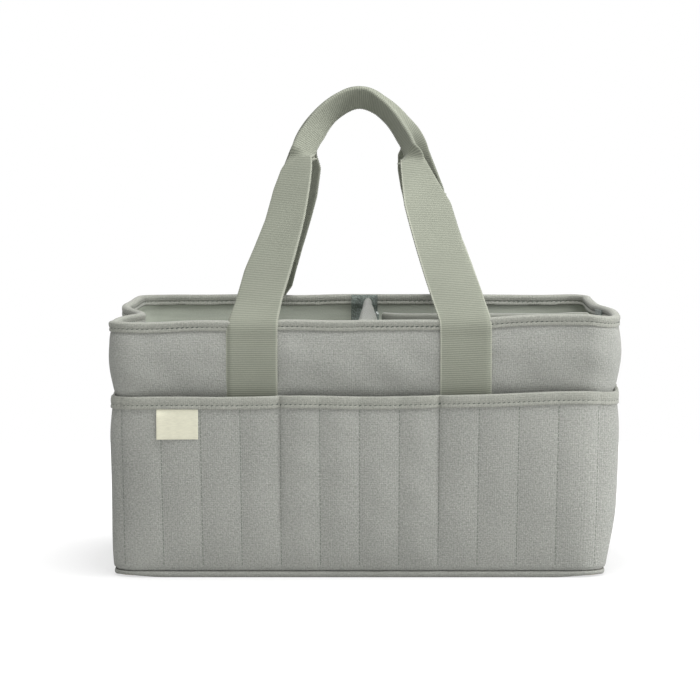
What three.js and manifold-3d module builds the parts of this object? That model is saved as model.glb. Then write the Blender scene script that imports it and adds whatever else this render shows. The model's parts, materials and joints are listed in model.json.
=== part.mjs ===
// A soft diaper caddy: padded walls on a stiffened base, a quilted pocket band all the way round,
// a bound rim, two webbing handles that lean together, and two lift-out dividers.
// Millimetres. The front faces -Y, +X is to the right and +Z is up. The origin is the middle of the base.

import * as THREE from "three";
import Module from "manifold-3d";
import { mergeVertices } from "three/addons/utils/BufferGeometryUtils.js";

const wasm = await Module();
wasm.setup();

// Body, measured over the outer fabric
const BODY_HEIGHT = 193; // floor to the top of the rim
const RIM_WIDTH = 377;
const RIM_DEPTH = 236;
const WAIST_TAPER_WIDTH = 9; // how much narrower it is at the pocket mouths than at the rim
const WAIST_TAPER_DEPTH = 8;
const BASE_TAPER_WIDTH = 15; // how much narrower it is at the base than at the rim
const BASE_TAPER_DEPTH = 16;
const CORNER_RADIUS = 18;
const BAND_SWELL = 4; // swell of the padding between the pocket mouths and the rim
const SIDE_FOLD = 12; // how far the fold in each side is drawn in at the rim
const FOLD_FLAT = 26; // width of the flat strip at the bottom of that fold

// Layers
const PLY_GAP = 0.3; // clearance between layers that are sewn together
const FABRIC = 1.2;
const WALL_FOAM = 4;
const LINING = 0.8;
const BINDING = 1;
const BASE_BOARD = 3;
const BASE_TURN = 2.4; // height of the rounded turn from the bottom into the lip

// Bindings
const RIM_DROP = 8; // how far the rim binding reaches down each face
const POCKET_DROP = 9.5; // how far the pocket binding reaches down the pocket

// Pockets
const POCKET_MOUTH = 137; // height of the pocket band's top edge
const POCKET_GAPE = 7; // how far the front and back pockets stand open
const SIDE_GAPE = 1.5; // the sides have the room of the fold behind them
const QUILT_CROWN = 1.2; // swell of each quilted channel
const POCKETS_ACROSS = 3; // pockets on the front, and on the back
const CHANNELS_PER_POCKET = 4;
const SIDE_CHANNELS = 8;
const POCKET_WRAP = 38; // degrees that the front and back bands turn round each corner
const POCKET_JOIN = 0.6; // gap between two bands where they meet

// Label under the front pocket binding
const LABEL_WIDTH = 31;
const LABEL_HEIGHT = 21.5;
const LABEL_THICK = 0.8;
const LABEL_IN = 42.5; // from the corner seam to the label's middle
const LABEL_GAP = 0.5; // below the binding

// Handles
const WEBBING_WIDTH = 38;
const WEBBING = 1.6;
const LOOP_LENGTH = 208; // rim to the top of the grip, along the strap's plane
const GRIP_WIDTH = 18; // webbing folded in half
const GRIP_THICK = 3.5;
const GRIP_SPAN = 87; // between the two ends of the grip
const GRIP_RISE = 50; // from the ends of the grip to its crown
const GRIP_CROWN = 34; // nearly level stretch at the crown
const GRIP_SHOULDER = 20; // how far the leg's line carries on into the grip
const LEG_BOW = 2.5; // how far each leg bows inward
const FOLD_LENGTH = 75; // stretch of leg over which the webbing closes into the grip
const HINGE_OFFSET = 0.4; // bending line outside the strap's outer face
const STRAP_BREAK = 1; // from the bending line to each part of the strap
const CROWN_CLEAR = 0.5; // between the strap and the rim that it bends over
const LEG_GAP = 0.4; // between the strap's sewn end and the pocket mouth

// Dividers
const DIVIDER_X = 4;
const DIVIDER_CORE = 4;
const CENTRE_TOP = 189.5;
const CROSS_TOP = 187;
const CROSS_Y = 0;
const TAPE_WIDTH = 20;
const TAPE = 1.2;
const TAPE_LOW = 60; // height where the hook-and-loop tapes begin
const HOOK_END = 6; // from the top of a divider to the top of its hook strips
const DIVIDER_FIT = 0.5; // between a hook strip and the tape that it meets

// Sizes that follow from these
const WAIST_WIDTH = RIM_WIDTH - WAIST_TAPER_WIDTH;
const WAIST_DEPTH = RIM_DEPTH - WAIST_TAPER_DEPTH;
const BASE_WIDTH = RIM_WIDTH - BASE_TAPER_WIDTH;
const BASE_DEPTH = RIM_DEPTH - BASE_TAPER_DEPTH;
const SEAM = FABRIC + PLY_GAP + BASE_BOARD + PLY_GAP; // bottom edge of the walls
const FLOOR = SEAM + LINING; // top of the floor lining
const RIM_LOW = BODY_HEIGHT - RIM_DROP;
const FOAM_FACE = FABRIC + PLY_GAP; // insets from the outer fabric's outer face
const LINING_FACE = FOAM_FACE + WALL_FOAM + PLY_GAP;
const WALL = LINING_FACE + LINING;
const BINDING_OUT = PLY_GAP + BINDING; // how far a binding stands proud of what it covers
const RIM_RADIUS = WALL / 2 + BINDING_OUT;
const WALL_TOP = BODY_HEIGHT - RIM_RADIUS;
const POCKET_SEAT = PLY_GAP + BINDING_OUT; // from the wall to the pocket sheet at a sewn line
const POCKET_TOP = POCKET_MOUTH - BINDING_OUT; // top edge of the pocket sheet, under its binding
const DIVIDER = DIVIDER_CORE + 2 * (PLY_GAP + FABRIC);

const { clamp, degToRad, lerp, radToDeg } = THREE.MathUtils;

// Body outline

function flare(z, atBase, atWaist, atRim) {
  if (z > POCKET_MOUTH) {
    return lerp(atWaist, atRim, (z - POCKET_MOUTH) / (BODY_HEIGHT - POCKET_MOUTH));
  }
  return lerp(atBase, atWaist, Math.max(0, z - SEAM) / (POCKET_MOUTH - SEAM));
}

function swell(z) {
  const share = clamp((z - POCKET_MOUTH) / (RIM_LOW - POCKET_MOUTH), 0, 1);
  return BAND_SWELL * Math.sin(Math.PI * share);
}

const plainHalfWidth = (z) => flare(z, BASE_WIDTH, WAIST_WIDTH, RIM_WIDTH) / 2;
const plainHalfDepth = (z) => flare(z, BASE_DEPTH, WAIST_DEPTH, RIM_DEPTH) / 2;
const halfWidth = (z) => plainHalfWidth(z) + swell(z);
const halfDepth = (z) => plainHalfDepth(z) + swell(z);
const foldIn = (z) => (SIDE_FOLD * Math.max(0, z - SEAM)) / (BODY_HEIGHT - SEAM);

// A station is one upright line on the body. Given a height and an inset from the outer fabric's
// face, it gives x and y. Sides are -1 or 1: sx is left or right and sy is front or back.

const atX = (sy, x) => (z, inset) => [x, sy * (halfDepth(z) - inset)];

const atFold = (sx, y) => (z, inset) => [sx * (halfWidth(z) - foldIn(z) - inset), y];

const onLong = (sx, sy, share) => (z, inset) => [
  sx * share * (halfWidth(z) - CORNER_RADIUS),
  sy * (halfDepth(z) - inset),
];

const onShort = (sx, sy, share) => (z, inset) => [
  sx * (halfWidth(z) - inset),
  sy * share * (halfDepth(z) - CORNER_RADIUS),
];

// Degrees run from the long side, 0, to the short side, 90.
const onCorner = (sx, sy, degrees) => (z, inset) => {
  const turn = degToRad(degrees);
  const radius = CORNER_RADIUS - inset;
  return [
    sx * (halfWidth(z) - CORNER_RADIUS + radius * Math.sin(turn)),
    sy * (halfDepth(z) - CORNER_RADIUS + radius * Math.cos(turn)),
  ];
};

const LONG_STEPS = [0, POCKET_WRAP / 2, POCKET_WRAP];
const SHORT_STEPS = [POCKET_WRAP, (POCKET_WRAP + 90) / 2, 90];
const CORNER_STEPS = [...LONG_STEPS, ...SHORT_STEPS.slice(1)];

// Half of the ring, from the left fold round the front or back to the right fold.
function halfRing(sy, foldGap) {
  const half = (sx) => [
    ...CORNER_STEPS.map((degrees) => onCorner(sx, sy, degrees)),
    atFold(sx, (sy * FOLD_FLAT) / 2),
    atFold(sx, (sy * foldGap) / 2),
  ];
  return [...half(-1).reverse(), ...half(1)];
}

// The whole ring, with the folds in the sides.
function foldedRing() {
  const front = halfRing(-1, 0).slice(1);
  const back = halfRing(1, 0).reverse().slice(1);
  return [...front, ...back];
}

// The whole ring at the base, where the sides are still straight.
function plainRing() {
  const quarter = (sx, sy) => CORNER_STEPS.map((degrees) => onCorner(sx, sy, degrees));
  return [
    ...quarter(-1, -1).reverse(),
    ...quarter(1, -1),
    ...quarter(1, 1).reverse(),
    ...quarter(-1, 1),
  ];
}

// Small angle that leaves a named gap at a corner.
const cornerGap = (gap) => radToDeg(gap / 2 / CORNER_RADIUS);

// Solids

// Closes a ring that runs out along one face and back along the other, by joining the two faces.
function capTriangles(size) {
  return Array.from({ length: size / 2 - 1 }, (_, i) => {
    const [far, back] = [size - 2 - i, size - 1 - i];
    return [
      [i, i + 1, far],
      [i, far, back],
    ];
  }).flat();
}

function signedVolume(positions, triangles) {
  const corner = (i) => new THREE.Vector3().fromArray(positions, 3 * i);
  return triangles.reduce((sum, [a, b, c]) => sum + corner(a).dot(corner(b).cross(corner(c))), 0) / 6;
}

// Joins rings of points, all of one length, into one closed solid. A looped solid closes on its
// first ring, and any other is capped at both ends. Each quad is split along its shorter diagonal,
// so that the layers of a twisted wall stay parallel.
function solidFromRings(rings, looped = false) {
  const size = rings[0].length;
  const points = rings.flat();
  const positions = points.flatMap((point) => point.toArray());
  const triangles = [];
  const spans = looped ? rings.length : rings.length - 1;
  for (let i = 0; i < spans; i += 1) {
    const here = i * size;
    const next = ((i + 1) % rings.length) * size;
    for (let j = 0; j < size; j += 1) {
      const k = (j + 1) % size;
      const [a, b, c, d] = [here + j, next + j, next + k, here + k];
      const joinsAC = points[a].distanceTo(points[c]) < points[b].distanceTo(points[d]);
      triangles.push(...(joinsAC ? [[a, b, c], [a, c, d]] : [[a, b, d], [b, c, d]]));
    }
  }
  if (!looped) {
    const last = (rings.length - 1) * size;
    const caps = capTriangles(size);
    triangles.push(...caps, ...caps.map(([a, b, c]) => [last + c, last + b, last + a]));
  }
  const outward = signedVolume(positions, triangles) > 0;
  const geometry = new THREE.BufferGeometry();
  geometry.setAttribute("position", new THREE.Float32BufferAttribute(positions, 3));
  geometry.setIndex(triangles.flatMap(([a, b, c]) => (outward ? [a, b, c] : [a, c, b])));
  geometry.computeVertexNormals();
  return geometry;
}

const ringAt = (station, section) =>
  section.map(([inset, z]) => new THREE.Vector3(...station(z, inset), z));

const sweep = (stations, section, looped = false) =>
  solidFromRings(stations.map((station) => ringAt(station, section)), looped);

// A stack of whole outlines, capped at the bottom and the top.
const stack = (outlines) =>
  solidFromRings(
    outlines.map(([inset, z]) => plainRing().map((station) => new THREE.Vector3(...station(z, inset), z))),
  );

// A flat board: an outline of [along, z] points, given thickness across it.
function board(outline, across, thick, along) {
  const face = (offset) =>
    outline.map(([a, z]) => {
      const place = { [along]: a, z };
      place[along === "x" ? "y" : "x"] = across + offset;
      return new THREE.Vector3(place.x, place.y, place.z);
    });
  return solidFromRings([face(-thick / 2), face(thick / 2)]);
}

function asManifold(geometry) {
  const plain = geometry.clone();
  plain.deleteAttribute("normal");
  const merged = mergeVertices(plain);
  return new wasm.Manifold(
    new wasm.Mesh({
      numProp: 3,
      vertProperties: new Float32Array(merged.attributes.position.array),
      triVerts: new Uint32Array(merged.index.array),
    }),
  );
}

function cut(geometry, tool) {
  const mesh = asManifold(geometry).subtract(asManifold(tool)).getMesh();
  const result = new THREE.BufferGeometry();
  result.setAttribute("position", new THREE.Float32BufferAttribute(mesh.vertProperties, 3));
  result.setIndex([...mesh.triVerts]);
  result.computeVertexNormals();
  return result;
}

// Wall layers

const BAND_STEPS = 4;
const BAND = Array.from({ length: BAND_STEPS + 1 }, (_, i) => lerp(POCKET_MOUTH, RIM_LOW, i / BAND_STEPS));

// A layer between two insets, from the height where it starts up to the rim's crown.
function layerSection(outer, inner, bottom) {
  const levels = [bottom, (bottom + POCKET_MOUTH) / 2, ...BAND, WALL_TOP];
  return [...levels.map((z) => [outer, z]), ...levels.reverse().map((z) => [inner, z])];
}

const outerSection = layerSection(0, FABRIC, SEAM);
const foamSection = layerSection(FOAM_FACE, FOAM_FACE + WALL_FOAM, SEAM);
const liningSection = layerSection(LINING_FACE, WALL, FLOOR + PLY_GAP);

const outerWrap = (sy) => sweep(halfRing(sy, PLY_GAP), outerSection);
const liningWrap = (sy) => sweep(halfRing(sy, PLY_GAP), liningSection);

function longFoam(sy) {
  const end = POCKET_WRAP - cornerGap(PLY_GAP);
  const steps = [...LONG_STEPS.slice(0, -1), end];
  const half = (sx) => steps.map((degrees) => onCorner(sx, sy, degrees));
  return sweep([...half(-1).reverse(), ...half(1)], foamSection);
}

function shortFoam(sx) {
  const end = POCKET_WRAP + cornerGap(PLY_GAP);
  const steps = [end, ...SHORT_STEPS.slice(1)];
  const half = (sy) => [
    ...steps.map((degrees) => onCorner(sx, sy, degrees)),
    atFold(sx, (sy * FOLD_FLAT) / 2),
  ];
  return sweep([...half(-1), ...half(1).reverse()], foamSection);
}

// The rim binding goes up the outer face, round the crown and down the lining.
function rimBinding() {
  const arc = (radius, turns) =>
    turns.map((degrees) => {
      const turn = degToRad(degrees);
      return [WALL / 2 - radius * Math.cos(turn), WALL_TOP + radius * Math.sin(turn)];
    });
  const turns = [0, 30, 60, 90, 120, 150, 180];
  const inside = RIM_RADIUS - BINDING;
  const section = [
    [-BINDING_OUT, RIM_LOW],
    ...arc(RIM_RADIUS, turns),
    [WALL + BINDING_OUT, RIM_LOW],
    [WALL + PLY_GAP, RIM_LOW],
    ...arc(inside, turns.reverse()),
    [-PLY_GAP, RIM_LOW],
  ];
  return sweep(foldedRing(), section, true);
}

// Base

const LIP_OUT = POCKET_SEAT + FABRIC; // the lip stands under the pocket sheets' bottom edge
const LIP_TOP = SEAM - PLY_GAP;

const basePanel = () =>
  stack([
    [BASE_TURN - LIP_OUT, 0],
    [BASE_TURN / 4 - LIP_OUT, BASE_TURN / 4],
    [-LIP_OUT, BASE_TURN],
    [-LIP_OUT, LIP_TOP],
    [-POCKET_SEAT, LIP_TOP],
    [-POCKET_SEAT, FABRIC],
  ]);

const baseBoard = () =>
  stack([
    [PLY_GAP - POCKET_SEAT, FABRIC + PLY_GAP],
    [PLY_GAP - POCKET_SEAT, LIP_TOP],
  ]);

const floorLining = () =>
  stack([
    [LINING_FACE, SEAM],
    [LINING_FACE, FLOOR],
  ]);

// Pocket bands

const FRONT_STRAIGHT = WAIST_WIDTH / 2 - CORNER_RADIUS;
const FRONT_ARC = CORNER_RADIUS * degToRad(POCKET_WRAP);
const FRONT_HALF = FRONT_STRAIGHT + FRONT_ARC;
const SIDE_STRAIGHT = WAIST_DEPTH / 2 - CORNER_RADIUS;
const SIDE_ARC = CORNER_RADIUS * degToRad(90 - POCKET_WRAP);
const SIDE_HALF = SIDE_STRAIGHT + SIDE_ARC;

// Each band is a path measured along the cloth from its middle, with its length and its corner bends.
const longBand = (sy) => ({
  half: FRONT_HALF,
  bends: [FRONT_STRAIGHT, FRONT_STRAIGHT + FRONT_ARC / 2],
  pockets: POCKETS_ACROSS,
  channels: POCKETS_ACROSS * CHANNELS_PER_POCKET,
  gape: POCKET_GAPE,
  station: (along) => {
    const sx = Math.sign(along) || 1;
    const past = Math.abs(along) - FRONT_STRAIGHT;
    return past > 0
      ? onCorner(sx, sy, radToDeg(past / CORNER_RADIUS))
      : onLong(sx, sy, Math.abs(along) / FRONT_STRAIGHT);
  },
});

const shortBand = (sx) => ({
  half: SIDE_HALF,
  bends: [SIDE_STRAIGHT, SIDE_STRAIGHT + SIDE_ARC / 2],
  pockets: 1,
  channels: SIDE_CHANNELS,
  gape: SIDE_GAPE,
  station: (along) => {
    const sy = Math.sign(along) || 1;
    const past = Math.abs(along) - SIDE_STRAIGHT;
    return past > 0
      ? onCorner(sx, sy, 90 - radToDeg(past / CORNER_RADIUS))
      : onShort(sx, sy, Math.abs(along) / SIDE_STRAIGHT);
  },
});

// Places along a band: every channel's seams and crown, and the bends at the corners.
function bandStops(band) {
  const end = band.half - POCKET_JOIN / 2;
  const steps = 2 * band.channels;
  const channelStops = Array.from({ length: steps + 1 }, (_, i) => lerp(-end, end, i / steps));
  const bends = band.bends.flatMap((bend) => [-bend, bend]);
  const clear = (stop) => bends.every((bend) => Math.abs(stop - bend) > POCKET_JOIN);
  const stops = [...channelStops.filter((stop, i) => i === 0 || i === steps || clear(stop)), ...bends];
  return stops.sort((a, b) => a - b).map((along) => {
    const share = (along + end) / (2 * end);
    const inPocket = (share * band.pockets) % 1;
    const inChannel = (share * band.channels) % 1;
    return {
      station: band.station(along),
      open: band.gape * (1 - (2 * inPocket - 1) ** 6),
      crown: QUILT_CROWN * (1 - (2 * inChannel - 1) ** 2),
    };
  });
}

// How far the pocket has opened at a height, as a share of its gape.
function opening(z) {
  const share = clamp((z - SEAM) / (POCKET_MOUTH - SEAM), 0, 1);
  return 1 - (1 - share) ** 3;
}

const SHEET_LEVELS = [0, 0.12, 0.3, 0.6, 1];

function pocketPanel(band) {
  const levels = SHEET_LEVELS.map((share) => lerp(SEAM, POCKET_TOP, share));
  const rings = bandStops(band).map(({ station, open, crown }) => {
    const back = (z) => POCKET_SEAT + open * opening(z);
    const swollen = (z) => (z === SEAM ? 0 : crown);
    return ringAt(station, [
      ...levels.map((z) => [-back(z) - FABRIC - swollen(z), z]),
      ...[...levels].reverse().map((z) => [-back(z), z]),
    ]);
  });
  return solidFromRings(rings);
}

function pocketBinding(band) {
  const low = POCKET_MOUTH - POCKET_DROP;
  const round = BINDING / 2;
  const rings = bandStops(band).map(({ station, open, crown }) => {
    const back = POCKET_SEAT + open;
    const front = back + FABRIC + crown;
    return ringAt(station, [
      [-front - BINDING_OUT, low],
      [-front - BINDING_OUT, POCKET_MOUTH - round],
      [-front - BINDING_OUT + round, POCKET_MOUTH],
      [-back + BINDING_OUT - round, POCKET_MOUTH],
      [-back + BINDING_OUT, POCKET_MOUTH - round],
      [-back + BINDING_OUT, low],
      [-back + PLY_GAP, low],
      [-back + PLY_GAP, POCKET_MOUTH - BINDING],
      [-back, POCKET_MOUTH - BINDING],
      [-front, POCKET_MOUTH - BINDING],
      [-front - PLY_GAP, POCKET_MOUTH - BINDING],
      [-front - PLY_GAP, low],
    ]);
  });
  return solidFromRings(rings);
}

function label() {
  const top = POCKET_MOUTH - POCKET_DROP - LABEL_GAP;
  const bottom = top - LABEL_HEIGHT;
  const face = (z) => -(POCKET_SEAT + POCKET_GAPE * opening(z) + FABRIC + QUILT_CROWN + PLY_GAP);
  const middle = LABEL_IN - FRONT_HALF;
  const stations = [-1, 1].map((side) => atX(-1, middle + (side * LABEL_WIDTH) / 2));
  return sweep(stations, [
    [face(bottom), bottom],
    [face(top), top],
    [face(top) - LABEL_THICK, top],
    [face(bottom) - LABEL_THICK, bottom],
  ]);
}

// Handles

const STRAP_OUT = BINDING_OUT + PLY_GAP + WEBBING; // strap's outer face at the rim
const LEG_X = FRONT_HALF / POCKETS_ACROSS + WEBBING_WIDTH / 2; // beside the pockets' sewn division
const HINGE_Y = halfDepth(WALL_TOP) + STRAP_OUT + HINGE_OFFSET;
const GRIP_BACK = HINGE_OFFSET + GRIP_THICK;
// The two loops lean until their grips all but meet over the middle.
const LEAN =
  Math.asin((HINGE_Y - PLY_GAP / 2) / Math.hypot(LOOP_LENGTH, GRIP_BACK)) -
  Math.atan(GRIP_BACK / LOOP_LENGTH);
// The bending line is high enough for the leaning strap to clear the rim's crown.
const STRAP_STAND = WEBBING + HINGE_OFFSET; // from the bending line to the strap's inner face
const HINGE_REACH = RIM_RADIUS + PLY_GAP + STRAP_STAND; // from the crown's middle to the bending line
const HINGE_RISE =
  (RIM_RADIUS + CROWN_CLEAR + STRAP_STAND - HINGE_REACH * Math.cos(LEAN)) / Math.sin(LEAN);
const HINGE_Z = WALL_TOP + HINGE_RISE;

// The sewn end of a strap: up the wall from the pocket mouth and over the rim binding.
function sewnLeg(sx, sy) {
  const top = HINGE_Z - STRAP_BREAK;
  const step = RIM_LOW - PLY_GAP;
  const face = [
    ...BAND.slice(0, -1).map((z, i) => [-PLY_GAP, i === 0 ? z + LEG_GAP : z]),
    [-PLY_GAP, step - BINDING_OUT],
    [-BINDING_OUT - PLY_GAP, step],
    [-BINDING_OUT - PLY_GAP, top],
  ];
  const outer = face.map(([inset, z]) => [inset - WEBBING, z]).reverse();
  const stations = [-1, 1].map((side) => atX(sy, sx * LEG_X + (side * WEBBING_WIDTH) / 2));
  return sweep(stations, [...face, ...outer]);
}

// The free loop, drawn in its own plane: x across, v up from the bending line.
function loopStops() {
  const crownV = LOOP_LENGTH - GRIP_WIDTH / 2;
  const gripEnd = new THREE.Vector2(GRIP_SPAN / 2, crownV - GRIP_RISE);
  const foot = new THREE.Vector2(LEG_X, STRAP_BREAK);
  const bow = foot.clone().add(gripEnd).multiplyScalar(0.5);
  bow.x -= 2 * LEG_BOW;
  const shoulder = gripEnd.clone().sub(bow).setLength(GRIP_SHOULDER);
  const leg = new THREE.QuadraticBezierCurve(foot, bow, gripEnd);
  const arch = new THREE.CubicBezierCurve(
    gripEnd,
    gripEnd.clone().add(shoulder),
    new THREE.Vector2(GRIP_CROWN / 2, crownV),
    new THREE.Vector2(0, crownV),
  );
  const legSteps = 7;
  const archSteps = 8;
  const stop = (curve, share, folded) => ({
    at: curve.getPoint(share),
    along: curve.getTangent(share),
    folded,
  });
  const folding = (v) => THREE.MathUtils.smoothstep(v, gripEnd.y - FOLD_LENGTH, gripEnd.y);
  const legStops = Array.from({ length: legSteps }, (_, i) => {
    const share = i / legSteps;
    return stop(leg, share, folding(leg.getPoint(share).y));
  });
  const archStops = Array.from({ length: archSteps + 1 }, (_, i) => stop(arch, i / archSteps, 1));
  return [...legStops, ...archStops].map(({ at, along, folded }) => {
    // The strap's foot is level with the rim, and the grip is square to its own line.
    const square = new THREE.Vector2(along.y, -along.x);
    const level = new THREE.Vector2(1, 0);
    const settle = clamp(at.y / gripEnd.y, 0, 1);
    const across = level.lerp(square, settle).normalize();
    return {
      at,
      across: across.multiplyScalar(lerp(WEBBING_WIDTH, GRIP_WIDTH, folded) / 2),
      thick: lerp(WEBBING, GRIP_THICK, folded),
    };
  });
}

function handleLoop(sy) {
  const place = (x, v, depth) => {
    const inward = v * Math.sin(LEAN) + depth * Math.cos(LEAN);
    const upward = v * Math.cos(LEAN) - depth * Math.sin(LEAN);
    return new THREE.Vector3(x, sy * (HINGE_Y - inward), HINGE_Z + upward);
  };
  const ring = (sx, { at, across, thick }) => {
    const outer = at.clone().add(across);
    const inner = at.clone().sub(across);
    return [
      place(sx * outer.x, outer.y, HINGE_OFFSET),
      place(sx * inner.x, inner.y, HINGE_OFFSET),
      place(sx * inner.x, inner.y, HINGE_OFFSET + thick),
      place(sx * outer.x, outer.y, HINGE_OFFSET + thick),
    ];
  };
  const stops = loopStops();
  const right = stops.map((stop) => ring(1, stop));
  const left = stops.slice(0, -1).map((stop) => ring(-1, stop));
  return solidFromRings([...right, ...left.reverse()]);
}

// Dividers and the tapes that hold them

const TAPE_INSET = WALL + PLY_GAP; // tape's back face on the lining
const TAPE_OVER = WALL + BINDING_OUT + PLY_GAP; // and over the rim binding
const TAPE_FACE = TAPE_OVER + TAPE; // the face that a divider meets at the rim

function wallTape(stations) {
  const step = RIM_LOW - PLY_GAP;
  const rise = [TAPE_LOW, ...BAND.slice(0, -1)];
  const back = [
    ...rise.map((z) => [TAPE_INSET, z]),
    [TAPE_INSET, step - BINDING_OUT],
    [TAPE_OVER, step],
    [TAPE_OVER, WALL_TOP],
  ];
  return sweep(stations, [...back, ...back.map(([inset, z]) => [inset + TAPE, z]).reverse()]);
}

const tapeEdges = (middle) => [middle - TAPE_WIDTH / 2, middle + TAPE_WIDTH / 2];
const longTape = (sy) => wallTape(tapeEdges(DIVIDER_X).map((x) => atX(sy, x)));
const rightTape = () => wallTape(tapeEdges(CROSS_Y).map((y) => atFold(1, y)));

const DIVIDER_FOOT = FLOOR + PLY_GAP;
const HOOK_FACE = DIVIDER_FIT; // from the tape's face to the hook strip
const HOOK_BACK = HOOK_FACE + TAPE;
const END_FACE = HOOK_BACK + PLY_GAP; // from the tape's face to the divider's own end

// Centre divider, drawn across the caddy: y along it and z up.
const centreReach = (z, back) => plainHalfDepth(z) - TAPE_FACE - back;

function centreOutline(bottom, top, back) {
  const levels = [bottom, POCKET_MOUTH, top];
  return [
    ...levels.map((z) => [-centreReach(z, back), z]),
    ...levels.reverse().map((z) => [centreReach(z, back), z]),
  ];
}

function hookOutline(levels, sy) {
  return [
    ...levels.map((z) => [sy * centreReach(z, HOOK_FACE), z]),
    ...[...levels].reverse().map((z) => [sy * centreReach(z, HOOK_BACK), z]),
  ];
}

// A sleeve is closed at the top and the ends, and open underneath where its core slides in.
const SLEEVE = FABRIC + PLY_GAP;
const OPEN_FOOT = 5; // the cut runs this far past the sleeve's foot

function centreCover() {
  const outside = board(centreOutline(DIVIDER_FOOT, CENTRE_TOP, END_FACE), DIVIDER_X, DIVIDER, "y");
  const inside = board(
    centreOutline(DIVIDER_FOOT - OPEN_FOOT, CENTRE_TOP - FABRIC, END_FACE + FABRIC),
    DIVIDER_X,
    DIVIDER - 2 * FABRIC,
    "y",
  );
  return cut(outside, inside);
}

const centreCore = () =>
  board(centreOutline(DIVIDER_FOOT, CENTRE_TOP - SLEEVE, END_FACE + SLEEVE), DIVIDER_X, DIVIDER_CORE, "y");

const centreHook = (sy) =>
  board(hookOutline([TAPE_LOW, POCKET_MOUTH, CENTRE_TOP - HOOK_END], sy), DIVIDER_X, DIVIDER, "y");

const rectangle = (low, high, bottom, top) => [
  [low, bottom],
  [low, top],
  [high, top],
  [high, bottom],
];

const CENTRE_FACE = DIVIDER_X + DIVIDER / 2 + PLY_GAP; // back of the tape on the centre divider
const centreTape = () =>
  board(
    rectangle(...tapeEdges(CROSS_Y), TAPE_LOW, CROSS_TOP),
    CENTRE_FACE + TAPE / 2,
    TAPE,
    "y",
  );

// Cross divider, drawn along the caddy: x along it and z up. Its ends are upright, so that it lifts
// clear of the side's fold, which reaches in furthest at the rim.
const CROSS_LEFT = CENTRE_FACE + TAPE; // faces of the two tapes that it stands between
const CROSS_RIGHT = plainHalfWidth(WALL_TOP) - foldIn(WALL_TOP) - TAPE_FACE;

const crossOutline = (bottom, top, back) =>
  rectangle(CROSS_LEFT + back, CROSS_RIGHT - back, bottom, top);

function crossCover() {
  const outside = board(crossOutline(DIVIDER_FOOT, CROSS_TOP, END_FACE), CROSS_Y, DIVIDER, "x");
  const inside = board(
    crossOutline(DIVIDER_FOOT - OPEN_FOOT, CROSS_TOP - FABRIC, END_FACE + FABRIC),
    CROSS_Y,
    DIVIDER - 2 * FABRIC,
    "x",
  );
  return cut(outside, inside);
}

const crossCore = () =>
  board(crossOutline(DIVIDER_FOOT, CROSS_TOP - SLEEVE, END_FACE + SLEEVE), CROSS_Y, DIVIDER_CORE, "x");

const crossHook = (low, high) =>
  board(rectangle(low, high, TAPE_LOW, CROSS_TOP - HOOK_END), CROSS_Y, DIVIDER, "x");

// Finishes

const finish = (color, roughness) => new THREE.MeshStandardMaterial({ color, roughness, metalness: 0 });

const FINISHES = {
  outer: finish("#9b9c96", 0.95),
  quilted: finish("#979892", 0.95),
  binding: finish("#9d9e97", 0.9),
  base: finish("#8f918a", 0.95),
  lining: finish("#7f8479", 0.85),
  foam: finish("#d9d8d0", 1),
  greyboard: finish("#a59c8c", 0.9),
  webbing: finish("#969a8c", 0.9),
  tape: finish("#515950", 1),
  felt: finish("#a0a39a", 1),
  label: finish("#e0dfcb", 0.8),
};

const SIDES = [
  ["left", -1],
  ["right", 1],
];
const FACES = [
  ["front", -1],
  ["back", 1],
];

const caddy = new THREE.Group();

function add(group, name, geometry, material) {
  const mesh = new THREE.Mesh(geometry, material);
  mesh.name = name;
  group.add(mesh);
}

const body = new THREE.Group();
add(body, "base_panel", basePanel(), FINISHES.base);
add(body, "base_board", baseBoard(), FINISHES.greyboard);
add(body, "floor_lining", floorLining(), FINISHES.lining);
for (const [face, sy] of FACES) {
  add(body, `outer_${face}_wrap`, outerWrap(sy), FINISHES.outer);
  add(body, `lining_${face}_wrap`, liningWrap(sy), FINISHES.lining);
  add(body, `foam_${face}`, longFoam(sy), FINISHES.foam);
  add(body, `pocket_${face}`, pocketPanel(longBand(sy)), FINISHES.quilted);
  add(body, `pocket_binding_${face}`, pocketBinding(longBand(sy)), FINISHES.binding);
  for (const [side, sx] of SIDES) {
    add(body, `handle_leg_${face}_${side}`, sewnLeg(sx, sy), FINISHES.webbing);
  }
  add(body, `wall_tape_${face}`, longTape(sy), FINISHES.tape);
}
for (const [side, sx] of SIDES) {
  add(body, `foam_${side}`, shortFoam(sx), FINISHES.foam);
  add(body, `pocket_${side}`, pocketPanel(shortBand(sx)), FINISHES.quilted);
  add(body, `pocket_binding_${side}`, pocketBinding(shortBand(sx)), FINISHES.binding);
}
add(body, "rim_binding", rimBinding(), FINISHES.binding);
add(body, "label", label(), FINISHES.label);
add(body, "wall_tape_right", rightTape(), FINISHES.tape);
caddy.add(body);

for (const [face, sy] of FACES) {
  add(caddy, `${face}_handle_loop`, handleLoop(sy), FINISHES.webbing);
}

const centre = new THREE.Group();
add(centre, "centre_divider_cover", centreCover(), FINISHES.felt);
add(centre, "centre_divider_core", centreCore(), FINISHES.foam);
add(centre, "centre_divider_tape", centreTape(), FINISHES.tape);
for (const [face, sy] of FACES) {
  add(centre, `centre_divider_hook_${face}`, centreHook(sy), FINISHES.tape);
}
caddy.add(centre);

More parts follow.
